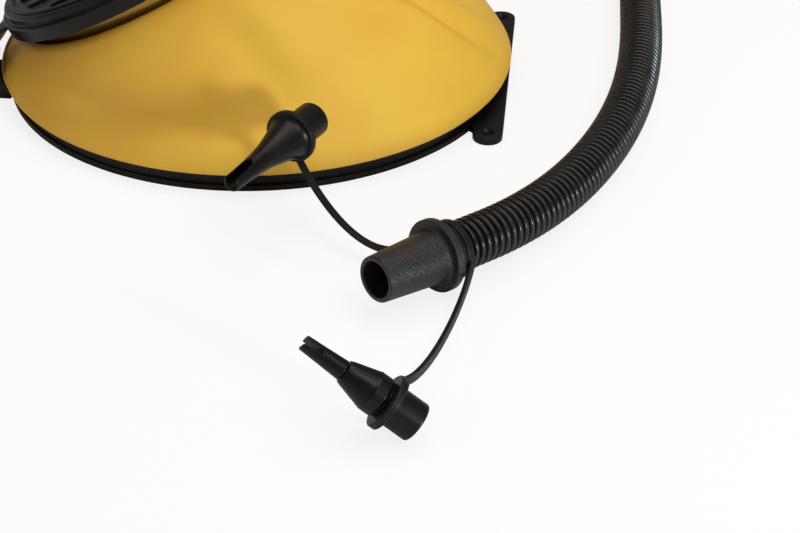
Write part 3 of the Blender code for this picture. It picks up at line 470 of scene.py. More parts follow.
def pvc_sheet(name, colour, deep):
    """Satin flexible PVC: a fine grain, faint clouding, a painted highlight on sharp fold crests
    and painted shade in hollows.
    """
    material = bpy.data.materials.new(name)
    material.use_nodes = True
    tree = material.node_tree
    surface = tree.nodes["Principled BSDF"]
    place = new_node(tree, "ShaderNodeTexCoord").outputs["Object"]
    clouds = noise_node(tree, place, 14.0, 3.0)
    dents = noise_node(tree, place, 55.0, 2.0, 0.5)
    grain = noise_node(tree, place, 2600.0, 2.0, 0.6)
    body = mixed(tree, spread(tree, clouds, 0.0, 1.0, 0.35, 0.65), deep, colour)
    # Painted highlight: where pointiness marks a sharp fold crest, the colour is mixed towards a
    # paler yellow.
    edge = new_node(tree, "ShaderNodeNewGeometry").outputs["Pointiness"]
    body = mixed(tree, spread(tree, edge, 0.0, 0.6, 0.52, 0.60), body, (0.86, 0.60, 0.13))
    # Painted shade: ambient occlusion darkens the colour towards a deep brown in creases, in the
    # groove under the tread plate and next to nearby parts.
    hollow = new_node(tree, "ShaderNodeAmbientOcclusion", (("Distance", 0.014),), samples=8)
    unshaded_share = spread(tree, hollow.outputs["AO"], 0.0, 1.0, 0.30, 0.74)
    body = mixed(tree, unshaded_share, (deep[0] * 0.13, deep[1] * 0.09, deep[2] * 0.10), body)
    tree.links.new(body, surface.inputs["Base Color"])
    gloss = spread(tree, dents, 0.48, 0.58)
    tree.links.new(gloss, surface.inputs["Roughness"])
    soft = bumped(tree, dents, 0.0006, 0.5)
    fine = bumped(tree, grain, 0.00005, 0.6, soft)
    tree.links.new(fine, surface.inputs["Normal"])
    surface.inputs["Specular IOR Level"].default_value = 0.30
    return material


def ribbed_gloss(name, colour):
    """Glossy extruded plastic with duller patches and a fine grain."""
    material = bpy.data.materials.new(name)
    material.use_nodes = True
    tree = material.node_tree
    surface = tree.nodes["Principled BSDF"]
    place = new_node(tree, "ShaderNodeTexCoord").outputs["Object"]
    broad = noise_node(tree, place, 60.0, 4.0, 0.6)
    fine = noise_node(tree, place, 900.0, 3.0, 0.6)
    paler = tuple(part * 1.7 + 0.002 for part in colour)
    body = mixed(tree, spread(tree, broad, 0.0, 1.0), colour, paler)
    tree.links.new(body, surface.inputs["Base Color"])
    gloss = spread(tree, broad, 0.20, 0.34)
    tree.links.new(gloss, surface.inputs["Roughness"])
    tree.links.new(bumped(tree, fine, 0.00004, 0.6), surface.inputs["Normal"])
    return material


BLACK = moulded("black_plastic", (0.0060, 0.0060, 0.0068), 0.38, 0.0011, 0.00005)
SANDED = moulded("sanded_plastic", (0.0140, 0.0140, 0.0155), 0.38, 0.00110, 0.00045, shine=0.44)
ADAPTER = moulded("adapter_plastic", (0.0045, 0.0045, 0.0048), 0.34, 0.0011, 0.00004)
STRAP = moulded("strap_plastic", (0.0070, 0.0070, 0.0074), 0.42, 0.0009, 0.00005)
RUBBER = moulded("black_rubber", (0.018, 0.018, 0.018), 0.75, 0.0008, 0.00006, sheen=0.2)
ZINC = moulded("zinc_steel", (0.58, 0.58, 0.60), 0.34, 0.0012, 0.00002, metallic=1.0)
YELLOW = pvc_sheet("yellow_pvc", (0.790, 0.480, 0.060), (0.740, 0.415, 0.048))
HOSE = ribbed_gloss("hose_black", (0.0045, 0.0045, 0.0054))


# --------------------------------------------------------------------------- the plates


def closed_to_open(share=1.0):
    """Turns what is placed on the closed top plate up about the hinge axis."""
    pivot = Matrix.Translation((HINGE_X, 0, HINGE_Z))
    return pivot @ Matrix.Rotation(-OPEN_ANGLE * share, 4, "Y") @ pivot.inverted()


def arc(centre, radius, start, end, count):
    return [
        (centre[0] + radius * math.cos(math.radians(start + (end - start) * i / count)),
         centre[1] + radius * math.sin(math.radians(start + (end - start) * i / count)))
        for i in range(count + 1)
    ]


def foot_bar():
    """The flat bar between the screw ears, with hollow corners beside the disc."""
    ear_x = BAR_EDGE_X - EAR_RADIUS
    corner = 0.0048
    inner_x = ear_x - EAR_RADIUS
    half = [(BAR_EDGE_X, 0.0)]
    half += arc((ear_x, EAR_Y), EAR_RADIUS, 0, 180, 30)
    reach = inner_x - corner
    start_y = EAR_Y - 0.0022
    half += arc((reach, start_y), corner, 0, -90, 12)
    half += [(reach - 0.012, start_y - corner), (reach - 0.012, 0.0)]
    mirrored = [(x, -y) for x, y in reversed(half[1:-1])]
    return plate("foot_bar", half + mirrored, 0.0, BAR_THICKNESS, 0.0007)


def ear_hole(y):
    sink = BAR_THICKNESS - 0.0017
    profile = [
        (0.0, BAR_THICKNESS + 0.001), (0.0052, BAR_THICKNESS + 0.001),
        (0.0042, BAR_THICKNESS), (0.0025, sink), (0.0025, -0.001), (0.0, -0.001),
    ]
    place = Matrix.Translation((BAR_EDGE_X - EAR_RADIUS, y, 0))
    return turned("ear_hole", profile, 48, place)


def upright(name, profile, low_y, high_y, bevel):
    """A plate cut to an outline in X and Z, standing between two Y values."""
    turn = Matrix.Rotation(math.radians(90), 4, "X")
    half = (high_y - low_y) / 2
    place = Matrix.Translation((0, (low_y + high_y) / 2, 0)) @ turn
    return plate(name, profile, -half, half, bevel, place)


def base_knuckle(low_y, high_y):
    profile = [(HINGE_X + KNUCKLE_RADIUS * math.cos(math.radians(a)),
                HINGE_Z + KNUCKLE_RADIUS * math.sin(math.radians(a)))
               for a in range(0, 181, 6)]
    profile += [(HINGE_X - KNUCKLE_RADIUS, 0.0), (-0.138, 0.0), (-0.138, 0.0102)]
    profile += [(HINGE_X + 0.0052, 0.0102)]
    return upright("base_knuckle", profile, low_y, high_y, 0.0005)


def top_knuckle(low_y, high_y):
    rim_z = HINGE_Z + TOP_FLANGE[0] + 0.0004
    top_z = HINGE_Z + TOP_FLANGE[1] - 0.0004
    profile = [(HINGE_X + KNUCKLE_RADIUS * math.cos(math.radians(a)),
                HINGE_Z + KNUCKLE_RADIUS * math.sin(math.radians(a)))
               for a in range(150, 379, 6)]
    arm_end = TOP_CENTRE_X - TOP_ARM_REACH
    profile += [(HINGE_X + 0.0063, rim_z), (arm_end, rim_z), (arm_end, top_z)]
    profile += [(HINGE_X - 0.0015, top_z)]
    return upright("top_knuckle", profile, low_y, high_y, 0.0004)


def both_sides(spans):
    for low, high in spans:
        yield low, high
        yield -high, -low


def outlet_parts():
    """The duct, the block outside the rim and the hose spigot."""
    width = DUCT_HALF_WIDTH
    duct = box("outlet_duct", (-width, DUCT_START_Y, 0.0), (width, 0.168, 0.0095), 0.0006)
    riser = box("outlet_riser", (-width, 0.1545, 0.001), (width, 0.1684, 0.026), 0.0014)
    spigot = turned("outlet_spigot", [(0.0, -0.004)] + rounded([
        (0.0092, -0.004, 0), (0.0092, 0.0200, 0.0008), (0.0062, 0.0200, 0)], False)
        + [(0.0, 0.0200)], 48, frame_along((0, 0.168, OUTLET_Z), (0, 1, 0)))
    return [duct, riser, spigot]


def outlet_gusset(x):
    """A thin rib that stiffens the outlet block from the rim, in the plane at x."""
    points = [(0.1500, 0.0), (0.1640, 0.0), (0.1640, 0.0060), (0.1500, 0.0100)]
    turn = Matrix(((0, 0, 1, 0), (1, 0, 0, 0), (0, 1, 0, 0), (0, 0, 0, 1)))
    place = Matrix.Translation((x, 0, 0)) @ turn
    return plate("outlet_gusset", points, -0.0028, 0.0028, 0.0003, place)


def base_plate():
    profile = rounded([
        (0.002, FLOOR_TOP, 0), (RIM_INNER_RADIUS, FLOOR_TOP, 0.0006),
        (RIM_INNER_RADIUS, RIM_TOP, 0.0005), (BASE_WALL_RADIUS, RIM_TOP, 0.0009),
        (BASE_WALL_RADIUS, LIP_HEIGHT + 0.0003, 0.0005),
        (BASE_RADIUS, LIP_HEIGHT - 0.0002, 0.0008), (BASE_RADIUS, 0.0, 0.0004),
        (LIP_INNER_RADIUS, 0.0, 0.0003), (LIP_INNER_RADIUS, FLOOR_BOTTOM, 0.0003),
        (0.002, FLOOR_BOTTOM, 0),
    ], False)
    item = turned("base_dish", [(0.0, FLOOR_TOP)] + profile + [(0.0, FLOOR_BOTTOM)], ROUND_STEPS)
    tools = [foot_bar()]
    tools += [base_knuckle(low, high) for low, high in both_sides(KNUCKLE_SPANS[0::2])]
    tools += outlet_parts()
    tools += [outlet_gusset(x) for x in (-0.0195, 0.0195)]
    inner, outer = SPRING_SEAT
    seat = rounded([(outer, FLOOR_TOP + 0.003, 0.0005), (outer, FLOOR_TOP - 0.001, 0),
                    (inner, FLOOR_TOP - 0.001, 0), (inner, FLOOR_TOP + 0.003, 0.0005)])
    tools.append(turned("spring_seat", seat, 96, over_top_centre()))
    tools.append(rod("centre_foot", 0.014, (0, 0, 0), (0, 0, FLOOR_TOP - 0.001), 64))
    joined(item, tools)
    cutters = [
        box("slot", (-0.012, MOUTH_Y[0] - 0.001, 0.003), (0.012, 0.163, 0.0075)),
        box("mouth", (-0.0115, MOUTH_Y[0], 0.005), (0.0115, MOUTH_Y[1], 0.012)),
        box("chamber", (-0.0095, 0.1575, 0.0045), (0.0095, 0.1645, 0.0205)),
        rod("bore", 0.0065, (0, 0.1610, OUTLET_Z), (0, 0.190, OUTLET_Z), 48),
        ear_hole(EAR_Y), ear_hole(-EAR_Y),
        rod("pin_bore", PIN_RADIUS + GAP, (HINGE_X, -0.07, HINGE_Z), (HINGE_X, 0.07, HINGE_Z)),
    ]
    cut(item, cutters)
    return finish_piece(item, "base", "black_plastic", BLACK, "base_plate")


def over_top_centre():
    return Matrix.Translation((TOP_CENTRE_X, 0, 0))


def tread_rib(y, top):
    """A raised rib with round ends across the tread plate."""
    half = math.sqrt((TOP_WALL_RADIUS - 0.012) ** 2 - y * y)
    radius = TREAD_WIDTH / 2
    points = arc((TOP_CENTRE_X + half - radius, y), radius, -90, 90, 12)
    points += arc((TOP_CENTRE_X - half + radius, y), radius, 90, 270, 12)
    return plate("tread_rib", points, top - 0.001, top + TREAD_HEIGHT, 0.0006)


def top_plate():
    """The tread plate: a lip and a flange over the skirt, and a raised skin with ribs."""
    flange_low, flange_high = (HINGE_Z + height for height in TOP_FLANGE)
    skin_low, skin_high = (HINGE_Z + height for height in TOP_SKIN)
    lip = HINGE_Z + TOP_LIP_HEIGHT
    profile = rounded([
        (0.002, skin_high, 0), (TOP_WALL_RADIUS, skin_high, 0.0016),
        (TOP_WALL_RADIUS, flange_high, 0.0006), (TOP_RADIUS, flange_high, 0.0009),
        (TOP_RADIUS, lip, 0.0005), (TOP_LIP_INNER_RADIUS, lip, 0.0004),
        (TOP_LIP_INNER_RADIUS, flange_low, 0.0003),
        (TOP_FLANGE_INNER_RADIUS, flange_low, 0.0004),
        (TOP_FLANGE_INNER_RADIUS, skin_low, 0.0008), (0.002, skin_low, 0),
    ], False)
    item = turned("tread_dish", [(0.0, skin_high)] + profile + [(0.0, skin_low)], ROUND_STEPS,
                  over_top_centre())
    tools = [tread_rib(TREAD_PITCH * (i - (TREAD_COUNT - 1) / 2), skin_high)
             for i in range(TREAD_COUNT)]
    tools += [top_knuckle(low, high) for low, high in both_sides(KNUCKLE_SPANS[1:2])]
    tools.append(rod("spring_boss", SPRING_BOSS_RADIUS, (TOP_CENTRE_X, 0, skin_low - 0.003),
                     (TOP_CENTRE_X, 0, skin_low + 0.001), 48))
    outer, inner = TOP_WALL_RADIUS - 0.0045, TOP_WALL_RADIUS - 0.0075
    border = rounded([(outer, skin_high - 0.001, 0), (outer, skin_high + 0.0012, 0.0008),
                      (inner, skin_high + 0.0012, 0.0008), (inner, skin_high - 0.001, 0)])
    tools.append(turned("tread_border", border, ROUND_STEPS, over_top_centre()))
    joined(item, tools)
    cutters = [rod("pin_bore", PIN_RADIUS + GAP, (HINGE_X, -0.07, HINGE_Z),
                   (HINGE_X, 0.07, HINGE_Z))]
    for x, y in intake_holes():
        cutters.append(rod("intake_hole", 0.003, (x, y, skin_low - 0.001),
                           (x, y, skin_high + 0.004), 32))
    cut(item, cutters)
    item.data.transform(closed_to_open())
    return finish_piece(item, "top", "black_plastic", BLACK, "top_plate")


def intake_holes():
    step = 2 * math.pi / INTAKE_HOLE_COUNT
    return [
        (INTAKE_X + INTAKE_HOLE_RING * math.cos(step * (i + 0.5)),
         INTAKE_HOLE_RING * math.sin(step * (i + 0.5)))
        for i in range(INTAKE_HOLE_COUNT)
    ]


# -------------------------------------------------------------------- bellows and spring


def wedge_point(centre, radius, height, share, angle):
    """A point of the wedge: on a circle in the plane turned up by share of the opening."""
    tilt = OPEN_ANGLE * share
    reach = centre + radius * math.cos(angle) - HINGE_X
    x = HINGE_X + reach * math.cos(tilt) - height * math.sin(tilt)
    z = HINGE_Z + reach * math.sin(tilt) + height * math.cos(tilt)
    return Vector((x, radius * math.sin(angle), z))


def skirt_rows():
    """The skirt's outer face as (centre, radius, height, share), from hem to hem."""
    base_top = RIM_TOP + GAP - HINGE_Z
    hem = base_top + SKIRT_THICKNESS
    top_hem = TOP_FLANGE[0] - GAP
    rows = [(0.0, *row) for row in (
        (HEM_INNER_RADIUS, base_top, 0.0), (0.1455, base_top, 0.0),
        (FOLD_RADIUS - 0.0030, base_top, 0.0), (FOLD_RADIUS - 0.0006, base_top + 0.0001, 0.0),
        (FOLD_RADIUS, base_top + 0.0007, 0.0), (FOLD_RADIUS - 0.0004, hem + 0.0007, 0.0),
    )]
    count = 30
    for i in range(1, count):
        share = i / count
        bulge = 0.0020 * math.sin(math.pi * share)
        radius = FOLD_RADIUS + (RIDGE_RADIUS - FOLD_RADIUS) * share + bulge
        height = hem * (1 - share) ** 1.6
        rows.append((TOP_CENTRE_X * share, radius, height, RIDGE_SHARE * share))
    rows += [(TOP_CENTRE_X, *row) for row in (
        (RIDGE_RADIUS, 0.0, RIDGE_SHARE), (RIDGE_RADIUS - 0.0008, -0.0009, RIDGE_SHARE),
        (RIDGE_RADIUS - 0.0024, -0.0030, RIDGE_SHARE),
        (VALLEY_RADIUS + 0.0010, -0.0050, RIDGE_SHARE),
        (VALLEY_RADIUS, -VALLEY_DEPTH, RIDGE_SHARE + 0.001),
        (VALLEY_RADIUS - 0.0004, -VALLEY_DEPTH + 0.0010, RIDGE_SHARE + 0.004),
        (VALLEY_RADIUS - 0.0002, -0.0020, 0.964), (VALLEY_RADIUS, 0.0012, 0.982),
        (VALLEY_RADIUS + 0.0018, 0.0026, 0.992), (TOP_FOLD_RADIUS - 0.0022, 0.0034, 1.0),
        (TOP_FOLD_RADIUS - 0.0004, 0.0042, 1.0), (TOP_FOLD_RADIUS, 0.0056, 1.0),
        (TOP_FOLD_RADIUS - 0.0002, top_hem - 0.0012, 1.0),
        (TOP_FOLD_RADIUS - 0.0014, top_hem, 1.0), (TOP_HEM_INNER_RADIUS, top_hem, 1.0),
    )]
    return through(rows, 2)


def dent(angle, share, place, spread, depth):
    """A soft hollow (negative depth) or swelling round one place of the panel."""
    turn = math.degrees(angle)
    if turn > 180:
        turn -= 360
    across = (turn - place[0]) / spread[0]
    along = (share - place[1] - place[2] * (turn - place[0])) / spread[1]
    return depth * math.exp(-across * across - along * along)


# Places on the panel as (degrees, share, slant), spreads as (degrees, share), and depths
DENTS = (
    ((-14.0, 0.28, -0.026), (7.0, 0.060), -0.0050),
    ((-4.0, 0.21, -0.020), (8.0, 0.045), 0.0026),
    ((-22.0, 0.42, -0.015), (9.0, 0.080), 0.0022),
    ((-57.0, 0.66, 0.014), (5.0, 0.300), 0.0020),
    ((-66.0, 0.55, 0.014), (7.0, 0.300), -0.0024),
    ((-80.0, 0.25, 0.004), (12.0, 0.090), -0.0020),
    ((-38.0, 0.12, 0.0), (14.0, 0.060), -0.0014),
    ((40.0, 0.35, 0.010), (12.0, 0.090), -0.0022),
    ((75.0, 0.45, -0.008), (10.0, 0.120), -0.0020),
    ((118.0, 0.40, 0.004), (14.0, 0.150), 0.0016),
    ((-118.0, 0.45, -0.004), (12.0, 0.130), -0.0018),
)


def buckle(angle, share):
    """How far the soft panel stands out from its even shape."""
    window = math.sin(math.pi * min(max(share / RIDGE_SHARE, 0.0), 1.0)) ** BUCKLE_FADE
    slow = 0.0007 * math.sin(3.0 * angle + 0.7 + 1.4 * share)
    slow += 0.0004 * math.sin(7.0 * angle - 1.1 + 3.1 * share)
    return window * (slow + sum(dent(angle, share, *row) for row in DENTS))


def followed(share):
    """The share of the turn that is followed; the low panel stays up over the hem ring."""
    share = min(max(share, 0.0), 1.0)
    if share < RIDGE_SHARE:
        return RIDGE_SHARE * (share / RIDGE_SHARE) ** FOLLOW_POWER
    return share


def bellows():
    """The skirt's shell, laid on the wedge between the open plates."""
    steps = ROUND_STEPS
    rows = skirt_rows()
    row_shares = [followed(row[3]) for row in rows]
    loops, shares = [], []
    for k in range(steps):
        angle = 2 * math.pi * k / steps
        round_way = Vector((-math.sin(angle), math.cos(angle), 0))
        plain = [wedge_point(*row, angle) for row in rows]
        inward = []
        for i in range(len(plain)):
            along = plain[min(i + 1, len(plain) - 1)] - plain[max(i - 1, 0)]
            inward.append(along.normalized().cross(round_way).normalized())
        outer = [p - n * buckle(angle, row[3]) for p, n, row in zip(plain, inward, rows)]
        inner = [p + n * SKIRT_THICKNESS for p, n in zip(outer, inward)]
        loops.append(outer + inner[::-1])
        shares += row_shares + row_shares[::-1]
    item = loft("bellows", loops, True, 70.0)
    finish_piece(item, None, "yellow_pvc", YELLOW, "bellows_skirt")
    follow_hinge(item)
    return item


def follow_hinge(item):
    """Bakes the object's transform into its mesh."""
    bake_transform(item)


def return_spring():
    """The conical coil, its shares of the hinge's turn growing along the wire."""
    wire, turns, flat = SPRING_WIRE_RADIUS, SPRING_TURNS, SPRING_FLAT_TURNS
    per_turn, sides = 64, 16
    low = FLOOR_TOP + GAP + wire - HINGE_Z
    high = TOP_SKIN[0] - GAP - wire
    count = int(turns * per_turn)
    path, follow = [], []
    for i in range(count + 1):
        turn = turns * i / count
        share = min(max((turn - flat) / (turns - 2 * flat), 0.0), 1.0)
        radius = SPRING_BASE_RADIUS + (SPRING_TOP_RADIUS - SPRING_BASE_RADIUS) * share
        height = low + (high - low) * share
        path.append(wedge_point(TOP_CENTRE_X, radius, height, share, 2 * math.pi * turn))
        follow.append(share)
    loops, shares = [], []
    for i, point in enumerate(path):
        along = (path[min(i + 1, count)] - path[max(i - 1, 0)]).normalized()
        side = along.cross(UP).normalized()
        up = side.cross(along)
        loops.append([
            point + side * (wire * math.cos(2 * math.pi * k / sides))
            + up * (wire * math.sin(2 * math.pi * k / sides))
            for k in range(sides)
        ])
        shares += [follow[i]] * sides
    item = loft("return_coil", loops)
    finish_piece(item, None, "zinc_steel", ZINC, "return_spring")
    follow_hinge(item)
    return item


# ------------------------------------------------------------------------------ the hose


def hose_plan():
    """The centreline seen from above, in steps of about a millimetre."""
    rows = [(0.0, HOSE_START_Y + HOSE_STRAIGHT * i / 20) for i in range(20)]
    bend_y = HOSE_START_Y + HOSE_STRAIGHT
    count = 360
    for i in range(count + 1):
        angle = math.pi - math.pi * i / count
        rows.append((HOSE_LOOP_RADIUS * (1 + math.cos(angle)),
                     bend_y + HOSE_LOOP_RADIUS * math.sin(angle)))
    count = 120
    for i in range(1, count + 1):
        rows.append((2 * HOSE_LOOP_RADIUS, bend_y + (HOSE_SWEEP_START_Y - bend_y) * i / count))
    x, y = rows[-1]
    count = 300
    step = HOSE_SWEEP_LENGTH / count
    for i in range(count):
        turn = -math.pi / 2 - HOSE_SWEEP_TURN * ((i + 0.5) / count) ** HOSE_SWEEP_POWER
        x += step * math.cos(turn)
        y += step * math.sin(turn)
        rows.append((x, y))
    final = -math.pi / 2 - HOSE_SWEEP_TURN
    for i in range(1, 19):
        reach = HOSE_TAIL * i / 18
        rows.append((x + reach * math.cos(final), y + reach * math.sin(final)))
    return rows


def lift_at(from_end):
    """How far the hose has left the floor; its last straight stretch rises evenly."""
    slope = 2 * HOSE_LIFT / HOSE_LIFT_LENGTH
    bend_length = HOSE_LIFT_LENGTH - HOSE_TAIL
    if from_end >= HOSE_LIFT_LENGTH:
        return 0.0
    if from_end <= HOSE_TAIL:
        return slope * bend_length / 2 + slope * (HOSE_TAIL - from_end)
    return slope / (2 * bend_length) * (HOSE_LIFT_LENGTH - from_end) ** 2


def hose_line():
    """The centreline in space and the length along it at each point."""
    plan = hose_plan()
    lengths = [0.0]
    for (x0, y0), (x1, y1) in zip(plan, plan[1:]):
        lengths.append(lengths[-1] + math.hypot(x1 - x0, y1 - y0))
    path = []
    for (x, y), length in zip(plan, lengths):
        away = min(max((length - HOSE_STRAIGHT) / HOSE_DROP_LENGTH, 0.0), 1.0)
        drop = (OUTLET_Z - HOSE_RADIUS) * (1 - away * away * (3 - 2 * away))
        path.append(Vector((x, y, HOSE_RADIUS + drop + lift_at(lengths[-1] - length))))
    return path, lengths


def rib_section():
    """One rib and its groove as (share of the pitch, share of the rib's height)."""
    return ((0.00, 0.0), (0.11, 0.0), (0.16, 0.12), (0.21, 0.46), (0.28, 0.79), (0.37, 0.95),
            (0.48, 1.0), (0.60, 1.0), (0.71, 0.95), (0.80, 0.79), (0.87, 0.46), (0.93, 0.12))


def ribbed_hose():
    path, lengths = hose_line()
    total = lengths[-1]
    count = round(total / RIB_PITCH)
    pitch = total / count
    stations = []
    for i in range(count):
        for share, height in rib_section():
            radius = HOSE_GROOVE_RADIUS + (HOSE_RADIUS - HOSE_GROOVE_RADIUS) * height
            stations.append((pitch * (i + share), radius))
    stations.append((total, HOSE_GROOVE_RADIUS))
    stations += [(total * (1 - i / 200), HOSE_BORE) for i in range(201)]
    sides = 56
    loops = []
    for length, radius in stations:
        point, along = at_length(path, lengths, length)
        side = along.cross(UP).normalized()
        up = side.cross(along)
        loops.append([
            point + side * (radius * math.cos(2 * math.pi * k / sides))
            + up * (radius * math.sin(2 * math.pi * k / sides))
            for k in range(sides)
        ])
    item = loft("ribbed_hose", loops, True, 60.0)
    return finish_piece(item, "hose_line", "hose_black", HOSE, "hose")


def at_length(path, lengths, length):
    """The point and the direction at a length along the line."""
    low, high = 0, len(lengths) - 1
    while high - low > 1:
        middle = (low + high) // 2
        if lengths[middle] <= length:
            low = middle
        else:
            high = middle
    span = lengths[high] - lengths[low]
    share = (length - lengths[low]) / span
    before, after = max(low - 2, 0), min(high + 2, len(path) - 1)
    return path[low].lerp(path[high], share), (path[after] - path[before]).normalized()


def hose_cuff():
    """The sleeve on the hose's pump end, with shallow finger grooves."""
    inner, outer = HOSE_RADIUS + 0.0004, HOSE_RADIUS + 0.0028
    corners = [(inner, 0.020, 0.0003), (outer - 0.0004, 0.020, 0.0009)]
    for i in range(4):
        high = 0.0168 - i * 0.0038
        corners += [(outer, high, 0.0004), (outer - 0.0007, high - 0.0009, 0.0003),
                    (outer - 0.0007, high - 0.0019, 0.0003), (outer, high - 0.0028, 0.0004)]
    corners += [(outer, 0.0, 0.0009), (inner, 0.0, 0.0003)]
    place = frame_along((0, HOSE_START_Y + 0.0006, OUTLET_Z), (0, 1, 0))
    item = turned("hose_sleeve", rounded(corners), 96, place)
    return finish_piece(item, "hose_line", "black_plastic", BLACK, "hose_cuff")


# --------------------------------------------------------------------- nozzle and straps


def nozzle():
    """The tapered tip, the flange, the neck for the strap rings and the hose spigot."""
    back, front = FLANGE
    corners = [
        (NOZZLE_BORE, NOZZLE_TIP, 0.0006), (0.0116, NOZZLE_TIP, 0.0009),
        (0.0137, front, 0.0022), (FLANGE_RADIUS, front, 0.0007), (FLANGE_RADIUS, back, 0.0008),
        (NECK_RADIUS, back, 0.0003), (NECK_RADIUS, NECK_END, 0.0004),
        (0.0092, NECK_END, 0.0003), (0.0092, SPIGOT_END, 0.0005),
        (SPIGOT_BORE, SPIGOT_END, 0.0004), (SPIGOT_BORE, 0.0080, 0.0010),
    ]
    item = turned("nozzle_moulding", rounded(corners, True, 8.0), 128, joint_frame("nozzle_spin"))
    return finish_piece(item, "nozzle", "black_plastic", SANDED, "hose_nozzle")


def band_section(width, thickness, groove):
    """A strap's cross-section, its top sunk by groove between two round edges."""
    edge = min(0.0007, thickness * 0.4)
    side, face = width / 2, thickness / 2
    corners = [(-side, -face, edge), (side, -face, edge), (side, face, edge)]
    if groove:
        wide, narrow, sunk = width * 0.22, width * 0.14, face - groove
        corners += [(wide, face, 0.0003), (narrow, sunk, 0.0003),
                    (-narrow, sunk, 0.0003), (-wide, face, 0.0003)]
    corners.append((-side, face, edge))
    return rounded(corners, True, 18.0)


def band(name, path, section, first_normal, last_normal):
    """A strap's tongue along a path; its face turns from one normal to the other."""
    loops = []
    for i, point in enumerate(path):
        along = (path[min(i + 1, len(path) - 1)] - path[max(i - 1, 0)]).normalized()
        normal = first_normal.lerp(last_normal, i / (len(path) - 1))
        side = along.cross(normal).normalized()
        up = side.cross(along)
        loops.append([point + side * x + up * y for x, y in section])
    return loft(name, loops, False, 40.0)


def ring_profile(bore, radius, low, high, edge=0.0008):
    return rounded([(bore, high, 0.0003), (radius, high, edge), (radius, low, edge),
                    (bore, low, 0.0003)])


def in_frame(place, x, y, z):
    return place @ Vector((x, y, z))


def strap(name, ring, eyelet, radius, tongue, node, body):
    """An eyelet, a tongue and a ring on the nozzle's neck in one moulding."""
    profile = ring_profile(EYELET_BORE, radius, -EYELET_HALF, EYELET_HALF)
    item = turned(name, profile, 96, eyelet)
    profile = ring_profile(STRAP_RING_BORE, RING_RADIUS, *ring)
    neck = turned("neck_ring", profile, 96, joint_frame("nozzle_spin"))
    joined(item, [tongue, neck])
    return finish_piece(item, body, "strap_black", STRAP, node)


def strap_a():
    eyelet = joint_frame("adapter_a_spin")
    place = joint_frame("nozzle_spin")
    middle = sum(RING_A) / 2
    start = in_frame(eyelet, 0.0030, -0.0108, -0.0005)
    lower = in_frame(eyelet, 0.0101, -0.0232, 0)
    near = in_frame(place, -0.0322, -0.0221, 0.0189)
    turn_in = in_frame(place, -0.0190, -0.0040, middle)
    end = in_frame(place, -0.0144, -0.0030, middle)
    path = bezier((start, lower, near, turn_in), 60) + [end]
    axis = Vector(JOINTS["adapter_a_spin"]["axis"])
    normal = UP.cross(axis) + 0.8 * UP
    section = band_section(STRAP_WIDTH, STRAP_THICKNESS, 0.0005)
    tongue = band("tongue", path, section, normal, normal)
    return strap("strap_upper", RING_A, eyelet, EYELET_A_RADIUS, tongue, "strap_a", "strap_a_arm")


def strap_b():
    eyelet = joint_frame("adapter_b_spin")
    place = joint_frame("nozzle_spin")
    middle = sum(RING_B) / 2
    start = in_frame(eyelet, -0.0064, 0.0092, 0)
    lower = in_frame(eyelet, -0.0253, 0.0054, -0.0145)
    near = in_frame(place, 0.0154, -0.0140, -0.0112)
    end = in_frame(place, 0.0142, 0.0030, middle - 0.0010)
    path = bezier((start, lower, near, end), 70)
    across = place.to_3x3().col[0].copy()
    section = band_section(STRAP_WIDTH, STRAP_THICKNESS, 0.0)
    tongue = band("tongue", path, section, across + 0.3 * UP, across)
    return strap("strap_lower", RING_B, eyelet, EYELET_B_RADIUS, tongue, "strap_b", "strap_b_arm")


# -------------------------------------------------------------------------- the adapters


def slit(width, low, tip, depth, place, turn, flare):
    """A cutter for a slit with a round inner end, wider by flare at the tube's tip.

    depth is its reach across the tube, and turn its angle about the tube's axis.
    """
    radius = width / 2
    points = arc((0.0, low + radius), radius, 180, 360, 16)
    points += [(radius * flare, tip + 0.001), (-radius * flare, tip + 0.001)]
    stand = Matrix(((1, 0, 0, 0), (0, 0, 1, 0), (0, 1, 0, 0), (0, 0, 0, 1)))
    item = plate("slit", points, depth[0], depth[1], 0.0, stand)
    item.data.flip_normals()
    item.data.transform(place @ Matrix.Rotation(turn, 4, "Z"))
    return item


def socket_side(end, edge, bore_start):
    """The waist in the eyelet, the socket behind it and the bore up to bore_start."""
    half = EYELET_HALF + GAP
    return [
        (WAIST_RADIUS, -half, 0.0002), (SOCKET_RADIUS, -half, 0.0004), (SOCKET_RADIUS, end, edge),
        (SOCKET_BORE, end, 0.0006), (SOCKET_BORE - 0.0002, -0.004, 0), (0.0036, bore_start, 0),
    ]


def adapter_long():
    """The upper adapter: a concave cone that runs out into a tube with one slit."""
    place = joint_frame("adapter_a_spin")
    length, half = ADAPTER_A_LENGTH, EYELET_HALF + GAP
    low = length - ADAPTER_A_SLIT_LENGTH
    outside = through([
        (0.0124, half + 0.0002), (0.0112, 0.0042), (0.0098, 0.0090), (0.0078, length - 0.037),
        (0.0063, length - 0.029), (0.0051, length - 0.016), (0.0045, length - 0.0014),
    ], 5)
    corners = [(point.x, point.y, 0) for point in reversed(outside)]
    profile = rounded(
        [(0.0033, length, 0.0002), (0.0044, length, 0.0005)] + corners
        + [(0.0124, half, 0), (WAIST_RADIUS, half, 0.0002)]
        + socket_side(ADAPTER_A_SOCKET_END, 0.0008, 0.020) + [(0.0034, low, 0)])
    item = turned("adapter_long", profile, 96, place)
    cut(item, [slit(0.0052, low, length, (-0.0005, 0.0070), place, math.radians(2), 1.22)])
    return finish_piece(item, "adapter_a_plug", "black_plastic", ADAPTER, "adapter_a")


